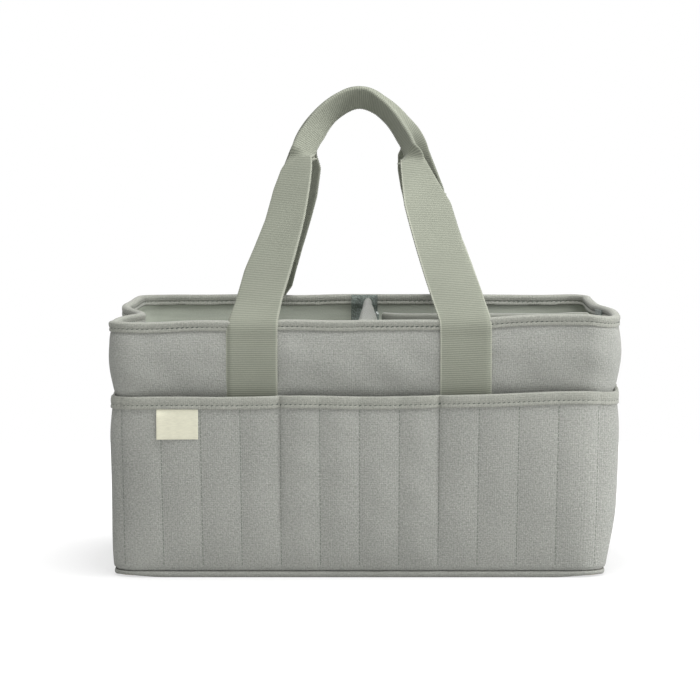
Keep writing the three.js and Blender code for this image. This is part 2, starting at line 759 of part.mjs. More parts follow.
const cross = new THREE.Group();
add(cross, "cross_divider_cover", crossCover(), FINISHES.felt);
add(cross, "cross_divider_core", crossCore(), FINISHES.foam);
const crossHooks = [
  ["left", CROSS_LEFT + HOOK_FACE, CROSS_LEFT + HOOK_BACK],
  ["right", CROSS_RIGHT - HOOK_BACK, CROSS_RIGHT - HOOK_FACE],
];
for (const [side, low, high] of crossHooks) {
  add(cross, `cross_divider_hook_${side}`, crossHook(low, high), FINISHES.tape);
}
caddy.add(cross);

export default caddy;
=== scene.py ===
"""Sews the cloth, padding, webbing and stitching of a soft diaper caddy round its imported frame.

Metres. The front faces -Y, +X is to the right, +Z is up, and the origin is the middle of the base.
"""

import json
import math

import bmesh
import bpy
import numpy as np
from bpy.props import FloatProperty, FloatVectorProperty, IntProperty, PointerProperty
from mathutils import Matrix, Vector


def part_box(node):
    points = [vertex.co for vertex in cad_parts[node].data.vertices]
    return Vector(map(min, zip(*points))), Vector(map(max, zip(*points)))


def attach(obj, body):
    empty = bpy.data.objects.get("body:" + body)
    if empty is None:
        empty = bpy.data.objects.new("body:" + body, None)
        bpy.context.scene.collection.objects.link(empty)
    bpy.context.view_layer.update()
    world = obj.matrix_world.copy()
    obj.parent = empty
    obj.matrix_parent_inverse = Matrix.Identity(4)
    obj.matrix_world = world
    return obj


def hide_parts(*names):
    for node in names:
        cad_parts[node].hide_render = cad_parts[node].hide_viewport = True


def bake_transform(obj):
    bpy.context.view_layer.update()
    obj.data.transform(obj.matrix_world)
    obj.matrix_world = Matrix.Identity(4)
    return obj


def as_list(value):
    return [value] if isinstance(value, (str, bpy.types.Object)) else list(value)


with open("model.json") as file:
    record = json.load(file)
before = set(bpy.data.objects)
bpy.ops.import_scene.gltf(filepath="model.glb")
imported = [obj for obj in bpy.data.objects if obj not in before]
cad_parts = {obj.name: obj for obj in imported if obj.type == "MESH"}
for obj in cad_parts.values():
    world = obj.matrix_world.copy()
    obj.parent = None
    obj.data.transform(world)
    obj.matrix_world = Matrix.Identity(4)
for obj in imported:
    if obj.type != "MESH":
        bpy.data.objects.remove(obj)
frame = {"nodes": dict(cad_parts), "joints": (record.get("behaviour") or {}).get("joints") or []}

bl_info = {
    "name": "Diaper Caddy",
    "version": (1, 0, 0),
    "blender": (4, 5, 0),
    "location": "View3D > Sidebar > Caddy",
    "description": "Sews a soft diaper caddy round its packed frame",
    "category": "Object",
}

MM = 0.001
FACES = (("front", -1), ("back", 1))

# Heights that the frame gives
SEAM, WALL_TOP = (corner.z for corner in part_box("outer_front_wrap"))
RIM_LOW, RIM_TOP = (corner.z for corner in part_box("rim_binding"))
MOUTH_LOW, MOUTH = (corner.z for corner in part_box("pocket_binding_front"))
POCKET_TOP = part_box("pocket_front")[1].z
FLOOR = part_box("floor_lining")[1].z
HINGE = Vector(next(j["pos_m"] for j in frame["joints"] if j["name"] == "front_handle_swing"))

CAMERA_TILT = math.radians(4.885)  # how far the camera looks down
SMOOTH_UP_TO = math.radians(60)  # a sharper edge than this stays crisp


def to_linear(code):
    """An sRGB hex colour as linear red, green, blue and alpha."""
    values = [int(code[i : i + 2], 16) / 255 for i in (1, 3, 5)]
    linear = [v / 12.92 if v <= 0.04045 else ((v + 0.055) / 1.055) ** 2.4 for v in values]
    return (*linear, 1.0)


def size(name, millimetres, description):
    """A length that a user may change."""
    return FloatProperty(name=name, description=description, default=millimetres * MM, unit="LENGTH")


def angle(name, degrees, description):
    """An angle that a user may change."""
    return FloatProperty(name=name, description=description, default=math.radians(degrees), subtype="ANGLE")


def count(name, number, description):
    """A whole number that a user may change."""
    return IntProperty(name=name, description=description, default=number)


def colour(name, code, description):
    """A colour that a user may change."""
    return FloatVectorProperty(
        name=name, description=description, default=to_linear(code), size=4, subtype="COLOR", min=0, max=1
    )


class CaddyBody(bpy.types.PropertyGroup):
    """Sizes of the padded body, over the outer cloth."""

    rim_width: size("Rim width", 377, "Width over the outer cloth at the rim")
    rim_depth: size("Rim depth", 236, "Depth over the outer cloth at the rim")
    waist_width: size("Waist width", 368, "Width at the pocket mouths")
    waist_depth: size("Waist depth", 228, "Depth at the pocket mouths")
    base_width: size("Base width", 362, "Width at the bottom seam")
    base_depth: size("Base depth", 220, "Depth at the bottom seam")
    corner_radius: size("Corner radius", 18, "Radius of the upright corners")
    band_swell: size("Band swell", 3.2, "Swell of the padding between the pocket mouths and the rim")
    padding: size("Padding", 5.5, "Outer cloth and foam together")
    wall: size("Wall", 6.6, "Whole wall, from the outer cloth to the lining's face")
    lining: size("Lining", 0.8, "Thickness of the lining")
    squeeze: size("Rim squeeze", 2.6, "How much thinner the wall is where its binding presses it")
    tuck: size("Side tuck", 17, "How far the left side's fold is drawn in at the rim")
    jog: size("Side jog", 9, "How far the right side's fold is drawn in at the rim")
    back_draw: size("Back draw", 16, "How far the back corners are drawn in at the rim")
    back_lift: size("Back lift", 1.7, "How far the back of the rim stands above its front")
    tilt: size("Rim tilt", 4.6, "How far the right front corner of the rim stands above its middle")
    lean_right: size("Right bulge", 5.5, "How far the right side bulges out")
    lean_left: size("Left flat", 3.0, "How far the left side stands in")
    left_draw: size("Left draw", 1.2, "How much further it stands in above the pocket mouths")


class CaddyPockets(bpy.types.PropertyGroup):
    """Sizes of the quilted pocket band."""

    across: count("Pockets", 3, "Pockets on the front, and on the back")
    channels: count("Channels", 4, "Quilted channels in each pocket")
    side_channels: count("Side channels", 8, "Quilted channels on each side")
    cloth: size("Cloth", 1.2, "Thickness of the pocket cloth at a sewn line")
    seat: size("Seat", 1.6, "From the wall to the pocket cloth at a sewn line")
    gape: size("Gape", 6.5, "How far the front and back pockets stand open")
    side_gape: size("Side gape", 2.5, "How far the side pockets stand open")
    puff_middle: size("Middle puff", 2.1, "Swell of a channel in the middle pocket")
    puff: size("Puff", 0.8, "Swell of a channel in the other pockets")
    wrap: angle("Wrap", 38, "Turn of the front band round a corner")
    stitch: size("Stitch", 3.0, "Pitch of the quilting stitches")
    edge_stitch: size("Edge stitch", 3.7, "Pitch of the stitches along a binding")
    label_width: size("Label width", 31, "Width of the bare label")
    label_height: size("Label height", 21.5, "Height of the bare label")
    label_in: size("Label place", 42.5, "From the corner seam to the label's middle")


class CaddyHandles(bpy.types.PropertyGroup):
    """Sizes of the two webbing handles."""

    webbing_width: size("Webbing width", 38, "Width of the webbing")
    webbing: size("Webbing", 1.6, "Thickness of the webbing over its ribs")
    rib: size("Rib pitch", 1.6, "Spacing of the ribs along the webbing")
    rib_depth: size("Rib depth", 0.12, "Depth of the grooves between ribs")
    foot: size("Foot", 78.3, "From the middle of the front to the middle of a sewn leg")
    length: size("Loop length", 208, "From the rim to the top of the grip, along the strap")
    grip_width: size("Grip width", 19, "Webbing folded in half")
    grip_span: size("Grip span", 87, "Between the two ends of the grip")
    grip_rise: size("Grip rise", 50, "From the ends of the grip to its crown")
    shoulder: size("Shoulder", 20, "How far the leg's line carries on into the grip")
    crown: size("Crown", 34, "Nearly level stretch at the crown")
    bow: size("Leg bow", 2.5, "How far each leg bows inward")
    lean: angle("Lean", 34.533, "Lean of a loop towards the middle")


class CaddyColours(bpy.types.PropertyGroup):
    """Colours of the yarns and cloths."""

    outer_dark: colour("Outer dark yarn", "#7f817c", "Darker yarn of the outer canvas")
    outer_light: colour("Outer light yarn", "#a6a7a1", "Lighter yarn of the outer canvas")
    binding_dark: colour("Binding dark yarn", "#80827b", "Darker yarn of the bindings")
    binding_light: colour("Binding light yarn", "#a1a299", "Lighter yarn of the bindings")
    # Painted light: the lining is made paler to stand in for light that reaches the inside of the caddy
    lining: colour("Lining", "#adb2a6", "Lining taffeta")
    webbing: colour("Webbing", "#909385", "Crest of the webbing's ribs")
    # Painted shade: the grooves between the ribs are coloured darker than the crests
    webbing_shade_between_ribs: colour("Webbing groove", "#767a6e", "Between the webbing's ribs")
    selvedge: colour("Selvedge", "#b6b8aa", "Woven edges of the webbing")
    felt: colour("Centre divider cloth", "#6c6e67", "Brushed cloth of the centre divider")
    # Painted light: the cross divider has the centre divider's cloth, painted paler for the light on its
    # shaded face
    felt_painted_light: colour("Cross divider cloth", "#868880", "Brushed cloth of the cross divider")
    tape: colour("Tape", "#76807a", "Hook-and-loop tape")
    label: colour("Label", "#d1cfba", "Woven label")
    # Partly the thread's own colour and partly painted shade: darkened for the shade of the needle dents it
    # sits in
    thread: colour("Thread", "#4a514a", "Sewing thread of the bindings and handles")
    quilting: colour("Quilting thread", "#666c64", "Sewing thread of the quilting")
    greyboard: colour("Greyboard", "#a59c8c", "Stiffener in the base")


PROPERTY_GROUPS = {
    "caddy_body": CaddyBody,
    "caddy_pockets": CaddyPockets,
    "caddy_handles": CaddyHandles,
    "caddy_colours": CaddyColours,
}


# Small sums

def smoothstep(value, low, high):
    """0 below low, 1 above high, and an even S between them."""
    share = np.clip((value - low) / (high - low), 0, 1)
    return share * share * (3 - 2 * share)


def lerp(low, high, share):
    """The value that lies a share of the way from low to high."""
    return low + (high - low) * share


def bell(value, middle, width):
    """1 at the middle, and nearly 0 from two widths away."""
    return np.exp(-(((value - middle) / width) ** 2))


def unit(vectors):
    """The same directions with a length of 1."""
    return vectors / np.linalg.norm(vectors, axis=-1)[..., None]


def spaced(low, high, pitch):
    """Even places from low to high, about a pitch apart."""
    return np.linspace(low, high, max(2, round((high - low) / pitch) + 1))


def run_along(points):
    """Running length along a row of points."""
    return np.concatenate([[0], np.cumsum(np.linalg.norm(np.diff(points, axis=0), axis=1))])


def girth_of(section):
    """Running length round a closed section of points, back to its start."""
    return run_along(np.concatenate([section, section[:1]]))


def at_places(run, rows, places):
    """Rows of values, known along a run, at other places on it."""
    return np.stack([np.interp(places, run, column) for column in rows.T], axis=-1)


def even_out(rows, window):
    """Averages each row with as many neighbours on either side."""
    padded = np.pad(rows, [(window, window)] + [(0, 0)] * (rows.ndim - 1), mode="edge")
    return np.lib.stride_tricks.sliding_window_view(padded, 2 * window + 1, axis=0).mean(axis=-1)


def cells(grid):
    """The four corners of each cell of a grid, in order round the cell."""
    return np.stack([grid[:-1, :-1], grid[1:, :-1], grid[1:, 1:], grid[:-1, 1:]], axis=2)


def ripple(along, up, pitch, seed):
    """An uneven wave between about -1 and 1, with the given pitch, that repeats on every run."""
    draw = np.random.default_rng(seed)
    total = 0
    for _ in range(5):
        heading, phase, stretch = draw.uniform((0, 0, 0.7), (math.pi, 2 * math.pi, 1.5))
        wave = (along * math.cos(heading) + up * math.sin(heading)) * 2 * math.pi * stretch / pitch
        total = total + np.sin(wave + phase)
    return total / 3  # five waves seldom add up to more


# The body's plan

class Plan:
    """The caddy's outline. Places are measured along the cloth from the front's middle, going right."""

    SEAM_GAP = 0.15 * MM  # from the middle of a side to each of the two wraps that meet there
    SQUEEZED = 16 * MM  # height below the rim binding over which the wall grows thinner

    # How the empty caddy stands: the middle and the width of the left side's tuck, and then where each other
    # change begins and where it is full, along Y, along X and up Z
    TUCK = -24 * MM, 30 * MM
    JOG = -40 * MM, 42 * MM
    BACK_CORNERS = 0, 115 * MM
    BEHIND_FRONT = -118 * MM, -85 * MM
    FRONT_TO_BACK = -90 * MM, 60 * MM
    BACK_RIM = 0, 105 * MM
    NEAR_SIDE = 140 * MM, 176 * MM
    HIGH_CORNER = 40 * MM, 165 * MM
    PAST_CORNER = 168 * MM, 190 * MM
    FLAT_UP = 0, 80 * MM
    DRAWN_UP = 100 * MM, 150 * MM
    BULGE_UP = 0, 55 * MM

    def __init__(self):
        self.body = bpy.context.scene.caddy_body
        radius = self.body.corner_radius
        long = self.body.waist_width / 2 - radius
        short = self.body.waist_depth / 2 - radius
        quarter = radius * math.pi / 2
        self.stops = np.cumsum(
            [0, long, quarter, 2 * short, quarter, 2 * long, quarter, 2 * short, quarter, long]
        )
        self.length = self.stops[-1]
        self.mid_side = long + quarter + short
        self.corner_seam = long + radius * bpy.context.scene.caddy_pockets.wrap

    def flare(self, z, base, waist, rim):
        """Half of a size at heights, from that size at the bottom seam, the pocket mouths and the rim."""
        return np.interp(z, [SEAM, MOUTH, RIM_TOP], [base, waist, rim]) / 2

    def swell(self, z):
        """Swell of the padding, nearly full over most of the way from the pocket mouths to the rim."""
        share = np.clip((z - MOUTH) / (RIM_LOW - MOUTH), 0, 1)
        return self.body.band_swell * np.sin(math.pi * share) ** 0.6

    def half_depth(self, z):
        return self.flare(z, self.body.base_depth, self.body.waist_depth, self.body.rim_depth) + self.swell(z)

    def half_width(self, z):
        return self.flare(z, self.body.base_width, self.body.waist_width, self.body.rim_width) + self.swell(z)

    def thickness(self, z):
        """From the outer cloth to the lining's face, thinner under the rim binding."""
        return self.body.wall - self.body.squeeze * smoothstep(z, RIM_LOW - self.SQUEEZED, RIM_LOW + 1 * MM)

    def wrap_places(self, sy, pitch):
        """Places along the front or the back wrap, from one side seam to the other."""
        middle = 0 if sy < 0 else self.length / 2
        reach = self.mid_side - self.SEAM_GAP
        return spaced(middle - reach, middle + reach, pitch)

    def place(self, along, z, out, fold=1.0):
        """Points that stand out from the outer cloth's face, at places along it and heights."""
        along, z, out = np.broadcast_arrays(along, z, out)
        here = np.mod(along, self.length)
        turn = np.radians(np.interp(here, self.stops, [0, 0, 90, 90, 180, 180, 270, 270, 360, 360]))
        to_right = np.interp(here, self.stops, [0, 1, 1, 1, 1, -1, -1, -1, -1, 0])
        to_back = np.interp(here, self.stops, [-1, -1, -1, 1, 1, 1, 1, -1, -1, -1])
        radius = self.body.corner_radius
        x = to_right * (self.half_width(z) - radius) + np.sin(turn) * (radius + out)
        y = to_back * (self.half_depth(z) - radius) - np.cos(turn) * (radius + out)
        return self.settle(np.stack([x, y, z], axis=-1), fold)

    def settle(self, points, fold=1.0):
        """How the empty caddy stands: each side folds in, the back corners draw in and the rim tilts.

        Fold is the share of the sides' folds that a cloth follows.
        """
        body = self.body
        x, y, z = np.moveaxis(np.array(points, float), -1, 0)
        rise = np.clip((z - SEAM) / (RIM_TOP - SEAM), 0, 1)
        # Deepest at the rim: the left side's tuck, the right side's jog and the back corners
        left = fold * body.tuck * bell(y, *self.TUCK)
        right = fold * body.jog * smoothstep(y, *self.JOG)
        back = body.back_draw * smoothstep(y, *self.BACK_CORNERS)
        inward = np.where(x < 0, left + 0.7 * back, right + 0.3 * back) * rise**1.5
        # Behind the front corners the left side stands in and the right side bulges out
        behind = smoothstep(y, *self.BEHIND_FRONT)
        flat = body.lean_left * behind * smoothstep(z, *self.FLAT_UP)
        flat = flat + body.left_draw * smoothstep(z, *self.DRAWN_UP)
        bulge = body.lean_right * behind * smoothstep(z, *self.BULGE_UP)
        shift = np.where(x < 0, flat, bulge) - np.sign(x) * inward
        near_side = smoothstep(abs(x), *self.NEAR_SIDE)
        # The rim's front rises towards its right corner and dips to the left, and its back is level
        high_right = smoothstep(x, *self.HIGH_CORNER) - 0.55 * smoothstep(x, *self.PAST_CORNER)
        low_left = 0.4 * np.clip(-x / (body.rim_width / 2), 0, 1) ** 2
        tilt = body.tilt * (high_right - low_left) * (1 - smoothstep(y, *self.FRONT_TO_BACK))
        lift = rise * (tilt + body.back_lift * smoothstep(y, *self.BACK_RIM))
        return np.stack([x + near_side * shift, y, z + lift], axis=-1)


# Mesh

def sew(name, rings, along, girth, material, looped=False, cap_flat=False):
    """Joins rings of points into one closed piece. Its UV map is in metres, along and round the cloth.

    A looped piece has no ends. Flat caps take their map from the plan.
    """
    rows, columns = rings.shape[:2]
    index = np.arange(rows * columns).reshape(rows, columns)
    index = np.pad(index, [(0, int(looped)), (0, 1)], mode="wrap")
    uv = np.stack(np.meshgrid(along, girth, indexing="ij"), axis=-1)
    faces = [cells(index).reshape(-1, 4)]
    face_uvs = [cells(uv).reshape(-1, 4, 2)]
    if not looped:
        half = np.arange(columns // 2 - 1)
        strip = np.stack([half, half + 1, columns - 2 - half, columns - 1 - half], axis=-1)
        for row in (0, rows - 1):
            faces.append(index[row][strip])
            face_uvs.append(rings[row][strip][..., :2] if cap_flat else uv[row][strip])
    mesh = bpy.data.meshes.new(name)
    mesh.from_pydata(rings.reshape(-1, 3).tolist(), [], np.concatenate(faces).tolist())
    layer = mesh.uv_layers.new(name="Cloth")
    layer.data.foreach_set("uv", np.concatenate(face_uvs).astype(np.float32).ravel())
    return piece_from(name, mesh, material)


def sew_layers(name, along, face, back, material, start=0.0):
    """Sews a cloth from the points of its face and its back. Its map starts at a place up the cloth."""
    rings = np.concatenate([face, back[:, ::-1]], axis=1)
    return sew(name, rings, along, girth_of(rings[len(along) // 2]) + start, material)


def piece_from(name, mesh, material):
    """Links a mesh as a piece, with its faces outward and its shading smooth."""
    sheet = bmesh.new()
    sheet.from_mesh(mesh)
    bmesh.ops.recalc_face_normals(sheet, faces=sheet.faces)
    sheet.to_mesh(mesh)
    sheet.free()
    mesh.materials.append(material)
    mesh.shade_smooth()
    mesh.set_sharp_from_angle(angle=SMOOTH_UP_TO)
    piece = bpy.data.objects.new(name, mesh)
    bpy.context.scene.collection.objects.link(piece)
    return piece


def points_of(piece):
    """The points of a piece's mesh."""
    return np.array([vertex.co for vertex in piece.data.vertices])


def move_points(piece, points):
    """Puts the points of a piece's mesh in other places."""
    piece.data.vertices.foreach_set("co", points.astype(np.float32).ravel())
    piece.data.update()


def wear(piece, body, slot, *nodes):
    """Puts a finished piece on its body and in the place of the frame's plain solids."""
    if body:
        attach(piece, body)
    if nodes:
        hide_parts(*nodes)
    return piece


# Materials

def add_node(tree, kind, links=None, **settings):
    """Adds a node with its settings. Links give an input a value, or another node's output."""
    node = tree.nodes.new(kind)
    for name, value in settings.items():
        setattr(node, name, value)
    for socket, value in (links or {}).items():
        if isinstance(value, bpy.types.NodeSocket):
            tree.links.new(value, node.inputs[socket])
        else:
            node.inputs[socket].default_value = value
    return node


def new_material(name):
    material = bpy.data.materials.new(name)
    material.use_nodes = True
    material.node_tree.nodes.clear()
    return material, material.node_tree


def close_material(tree, links):
    """Ends a material in one shader and its output."""
    shader = add_node(tree, "ShaderNodeBsdfPrincipled", links)
    add_node(tree, "ShaderNodeOutputMaterial", {"Surface": shader.outputs["BSDF"]})


def per_metre(millimetres):
    """Scale of a pattern that repeats once in this many millimetres, on coordinates in metres."""
    return 1000 / millimetres


def mottle(tree, tone, pattern, values, shades):
    """A tone made darker and paler by a pattern, whose two values become the two shades."""
    (low, high), (dark, pale) = values, shades
    spread = {"Value": pattern, "From Min": low, "From Max": high, "To Min": dark, "To Max": pale}
    share = add_node(tree, "ShaderNodeMapRange", spread)
    mixed = {"Factor": 1.0, 6: tone, 7: share.outputs[0]}
    return add_node(tree, "ShaderNodeMix", mixed, data_type="RGBA", blend_type="MULTIPLY").outputs[2]


def melange_canvas(name, dark, light, contrast=1.0):
    """Woven polyester canvas from heathered yarn: dark and light fibres in each thread, matt, soft to touch.

    The eye gets a fine even speckle with short streaks along both threads, and a faint plain weave.
    """
    material, tree = new_material(name)
    cloth = add_node(tree, "ShaderNodeUVMap", uv_map="Cloth").outputs["UV"]
    # Streaks 4 mm long and 0.7 mm wide, along the weft and then along the warp
    long, thin = per_metre(4), per_metre(0.7)
    streaks = []
    for scale in ((long, thin, 1), (thin, long, 1)):
        run = add_node(tree, "ShaderNodeMapping", {"Vector": cloth, "Scale": scale})
        fibres = {"Vector": run.outputs[0], "Scale": 1.0, "Detail": 3.0, "Roughness": 0.7}
        streaks.append(add_node(tree, "ShaderNodeTexNoise", fibres).outputs["Fac"])
    crossed = add_node(tree, "ShaderNodeMath", {0: streaks[0], 1: streaks[1]}, operation="ADD")
    # Fibre flecks 1.3 mm across: the real ones are finer than a picture element
    flecks = {"Vector": cloth, "Scale": per_metre(1.3), "Detail": 2.0, "Roughness": 0.7}
    fleck = add_node(tree, "ShaderNodeTexNoise", flecks).outputs["Fac"]
    mixed = add_node(
        tree, "ShaderNodeMath", {0: fleck, 1: 2.0, 2: crossed.outputs[0]}, operation="MULTIPLY_ADD"
    )
    # A slow change of dye depth, 70 mm across
    dye = add_node(tree, "ShaderNodeTexNoise", {"Vector": cloth, "Scale": per_metre(70), "Detail": 2.0})
    depth = {0: dye.outputs["Fac"], 1: 0.5, 2: mixed.outputs[0]}
    shaded = add_node(tree, "ShaderNodeMath", depth, operation="MULTIPLY_ADD")
    # The patterns add up to 2.25 on average
    spread = 0.52 / contrast
    range_links = {"Value": shaded.outputs[0], "From Min": 2.25 - spread, "From Max": 2.25 + spread}
    share = add_node(tree, "ShaderNodeMapRange", range_links)
    yarn = add_node(tree, "ShaderNodeMix", {"Factor": share.outputs[0], 6: dark, 7: light}, data_type="RGBA")
    # Plain weave drawn at 1.6 mm, three times its real thread spacing, so that it shows a little. A wave
    # texture has 20 / tau waves to a unit of its scale
    threads = {"Vector": cloth, "Scale": per_metre(1.6) * math.tau / 20, "Distortion": 1.0}
    over, under = (
        add_node(tree, "ShaderNodeTexWave", threads, bands_direction=way).outputs["Fac"] for way in "XY"
    )
    weave = add_node(tree, "ShaderNodeMath", {0: over, 1: under}, operation="ADD")
    relief = add_node(
        tree, "ShaderNodeMath", {0: fleck, 1: 6.0, 2: weave.outputs[0]}, operation="MULTIPLY_ADD"
    )
    raised = {"Height": relief.outputs[0], "Strength": 0.32, "Distance": 0.25 * MM}
    bump = add_node(tree, "ShaderNodeBump", raised)
    close_material(
        tree,
        {
            "Base Color": yarn.outputs[2],
            "Roughness": 0.92,
            "Specular IOR Level": 0.25,
            "Sheen Weight": 0.12,
            "Sheen Roughness": 0.5,
            "Normal": bump.outputs[0],
        },
    )
    return material


def grosgrain_webbing(name, crest, shade_between_ribs, selvedge, rib, width):
    """Ribbed cotton-look polypropylene webbing: thick filling yarns under a fine warp, matt with a dry gloss.

    The eye gets level ribs with a line of painted shade between them, and fine warp ends across each rib.
    """
    material, tree = new_material(name)
    cloth = add_node(tree, "ShaderNodeUVMap", uv_map="Cloth").outputs["UV"]
    axes = add_node(tree, "ShaderNodeSeparateXYZ", {"Vector": cloth})
    # One turn of the wave for each rib
    turn = add_node(tree, "ShaderNodeMath", {0: axes.outputs["X"], 1: math.tau / rib}, operation="MULTIPLY")
    wave = add_node(tree, "ShaderNodeMath", {0: turn.outputs[0]}, operation="COSINE")
    # Warp ends 1.1 mm apart, drawn twice as coarse as the real ones
    spacing = (per_metre(2.3), per_metre(1.1), 1)
    ends = add_node(tree, "ShaderNodeMapping", {"Vector": cloth, "Scale": spacing})
    fibres = {"Vector": ends.outputs[0], "Scale": 1.0, "Detail": 3.0, "Roughness": 0.7}
    grain = add_node(tree, "ShaderNodeTexNoise", fibres).outputs["Fac"]
    lifted = add_node(
        tree, "ShaderNodeMath", {0: grain, 1: 1.1, 2: wave.outputs[0]}, operation="MULTIPLY_ADD"
    )
    spread = {"Value": lifted.outputs[0], "From Min": -0.5, "From Max": 1.35}
    share = add_node(tree, "ShaderNodeMapRange", spread)
    # Painted shade: the grooves between the ribs take the darker colour
    ribs = {"Factor": share.outputs[0], 6: shade_between_ribs, 7: crest}
    yarn = add_node(tree, "ShaderNodeMix", ribs, data_type="RGBA")
    # Handling marks, 45 mm across
    soil = add_node(tree, "ShaderNodeTexNoise", {"Vector": cloth, "Scale": per_metre(45), "Detail": 3.0})
    worn = mottle(tree, yarn.outputs[2], soil.outputs["Fac"], (0.3, 0.7), (0.9, 1.0))
    # A paler band about 1 mm wide along both edges
    inset = add_node(tree, "ShaderNodeMath", {0: axes.outputs["Y"], 1: width / 2}, operation="SUBTRACT")
    reach = add_node(tree, "ShaderNodeMath", {0: inset.outputs[0]}, operation="ABSOLUTE").outputs[0]
    edge_in, edge_out = width / 2 - 1.4 * MM, width / 2 - 0.6 * MM
    edge_links = {"Value": reach, "From Min": edge_in, "From Max": edge_out, "To Max": 0.4}
    edge = add_node(tree, "ShaderNodeMapRange", edge_links)
    tints = {"Factor": edge.outputs[0], 6: worn, 7: selvedge}
    tinted = add_node(tree, "ShaderNodeMix", tints, data_type="RGBA")
    bump = add_node(tree, "ShaderNodeBump", {"Height": grain, "Strength": 0.5, "Distance": 0.2 * MM})
    close_material(
        tree,
        {
            "Base Color": tinted.outputs[2],
            "Roughness": 0.78,
            "Specular IOR Level": 0.3,
            "Sheen Weight": 0.1,
            "Normal": bump.outputs[0],
        },
    )
    return material


def lining_taffeta(name, tone):
    """Smooth polyester taffeta: a tight filament weave with a dull lustre and soft drag lines."""
    material, tree = new_material(name)
    cloth = add_node(tree, "ShaderNodeUVMap", uv_map="Cloth").outputs["UV"]
    # Drag lines 40 mm long and 3 mm wide
    drag = add_node(tree, "ShaderNodeMapping", {"Vector": cloth, "Scale": (per_metre(40), per_metre(3), 1)})
    lines = add_node(tree, "ShaderNodeTexNoise", {"Vector": drag.outputs[0], "Scale": 1.0, "Detail": 3.0})
    # Filament weave, 1 mm, drawn three times as coarse as the real one
    weave = add_node(tree, "ShaderNodeTexNoise", {"Vector": cloth, "Scale": per_metre(1.0), "Detail": 2.0})
    both = {0: lines.outputs["Fac"], 1: weave.outputs["Fac"]}
    tones = add_node(tree, "ShaderNodeMath", both, operation="ADD").outputs[0]
    bump = add_node(tree, "ShaderNodeBump", {"Height": tones, "Strength": 0.3, "Distance": 0.2 * MM})
    close_material(
        tree,
        {
            "Base Color": mottle(tree, tone, tones, (0.6, 1.4), (0.86, 1.1)),
            "Roughness": 0.55,
            "Specular IOR Level": 0.35,
            "Normal": bump.outputs[0],
        },
    )
    return material


def brushed_cloth(name, tone):
    """Brushed polyester cloth over wadding: a short raised nap that scatters light, with small pills."""
    material, tree = new_material(name)
    place = add_node(tree, "ShaderNodeTexCoord").outputs["Object"]
    # Nap in tufts of 1.5 mm, and pressed patches of 25 mm
    tufts = {"Vector": place, "Scale": per_metre(1.5), "Detail": 4.0, "Roughness": 0.7}
    nap = add_node(tree, "ShaderNodeTexNoise", tufts).outputs["Fac"]
    pressed = add_node(tree, "ShaderNodeTexNoise", {"Vector": place, "Scale": per_metre(25), "Detail": 2.0})
    tones = add_node(tree, "ShaderNodeMath", {0: nap, 1: pressed.outputs["Fac"]}, operation="ADD")
    bump = add_node(tree, "ShaderNodeBump", {"Height": nap, "Strength": 0.6, "Distance": 0.4 * MM})
    close_material(
        tree,
        {
            "Base Color": mottle(tree, tone, tones.outputs[0], (0.6, 1.4), (0.82, 1.12)),
            "Roughness": 0.95,
            "Specular IOR Level": 0.2,
            "Sheen Weight": 0.25,
            "Sheen Roughness": 0.4,
            "Normal": bump.outputs[0],
        },
    )
    return material


def hook_and_loop(name, tone):
    """Nylon hook-and-loop tape: a dense field of bristles 1.4 mm apart, with painted shade between them."""
    material, tree = new_material(name)
    place = add_node(tree, "ShaderNodeTexCoord").outputs["Object"]
    field = {"Vector": place, "Scale": per_metre(1.4), "Randomness": 0.6}
    bristles = add_node(tree, "ShaderNodeTexVoronoi", field)
    # Bristles lean together in clumps of 6 mm
    clumps = add_node(tree, "ShaderNodeTexNoise", {"Vector": place, "Scale": per_metre(6), "Detail": 4.0})
    both = {0: clumps.outputs["Fac"], 1: bristles.outputs["Distance"]}
    depth = add_node(tree, "ShaderNodeMath", both, operation="SUBTRACT").outputs[0]
    bump = add_node(tree, "ShaderNodeBump", {"Height": depth, "Strength": 0.9, "Distance": 0.5 * MM})
    # Painted shade and highlight: the colour darkens where the bristles' height is low and pales where it is
    # high
    close_material(
        tree,
        {
            "Base Color": mottle(tree, tone, depth, (-0.3, 0.5), (0.6, 1.35)),
            "Roughness": 0.7,
            "Sheen Weight": 0.2,
            "Normal": bump.outputs[0],
        },
    )
    return material


def woven_label(name, tone):
    """Damask label ribbon: fine satin weave in level rows 0.8 mm apart, soft sheen, slightly slubbed."""
    material, tree = new_material(name)
    place = add_node(tree, "ShaderNodeTexCoord").outputs["Object"]
    rows = add_node(tree, "ShaderNodeMapping", {"Vector": place, "Scale": (per_metre(4), 1, per_metre(0.8))})
    slubs = {"Vector": rows.outputs[0], "Scale": 1.0, "Detail": 3.0, "Roughness": 0.6}
    slub = add_node(tree, "ShaderNodeTexNoise", slubs).outputs["Fac"]
    bump = add_node(tree, "ShaderNodeBump", {"Height": slub, "Strength": 0.4, "Distance": 0.15 * MM})
    close_material(
        tree,
        {
            "Base Color": mottle(tree, tone, slub, (0.3, 0.7), (0.9, 1.03)),
            "Roughness": 0.6,
            "Sheen Weight": 0.1,
            "Normal": bump.outputs[0],
        },
    )
    return material


def sewing_thread(name, tone):
    """Spun polyester sewing thread: two plies twisted every 1.2 mm, with a little fuzz."""
    material, tree = new_material(name)
    place = add_node(tree, "ShaderNodeTexCoord").outputs["Object"]
    plies = add_node(tree, "ShaderNodeTexNoise", {"Vector": place, "Scale": per_metre(1.2), "Detail": 2.0})
    twisted = mottle(tree, tone, plies.outputs["Fac"], (0.3, 0.7), (0.8, 1.1))
    close_material(tree, {"Base Color": twisted, "Roughness": 0.75, "Sheen Weight": 0.15})
    return material


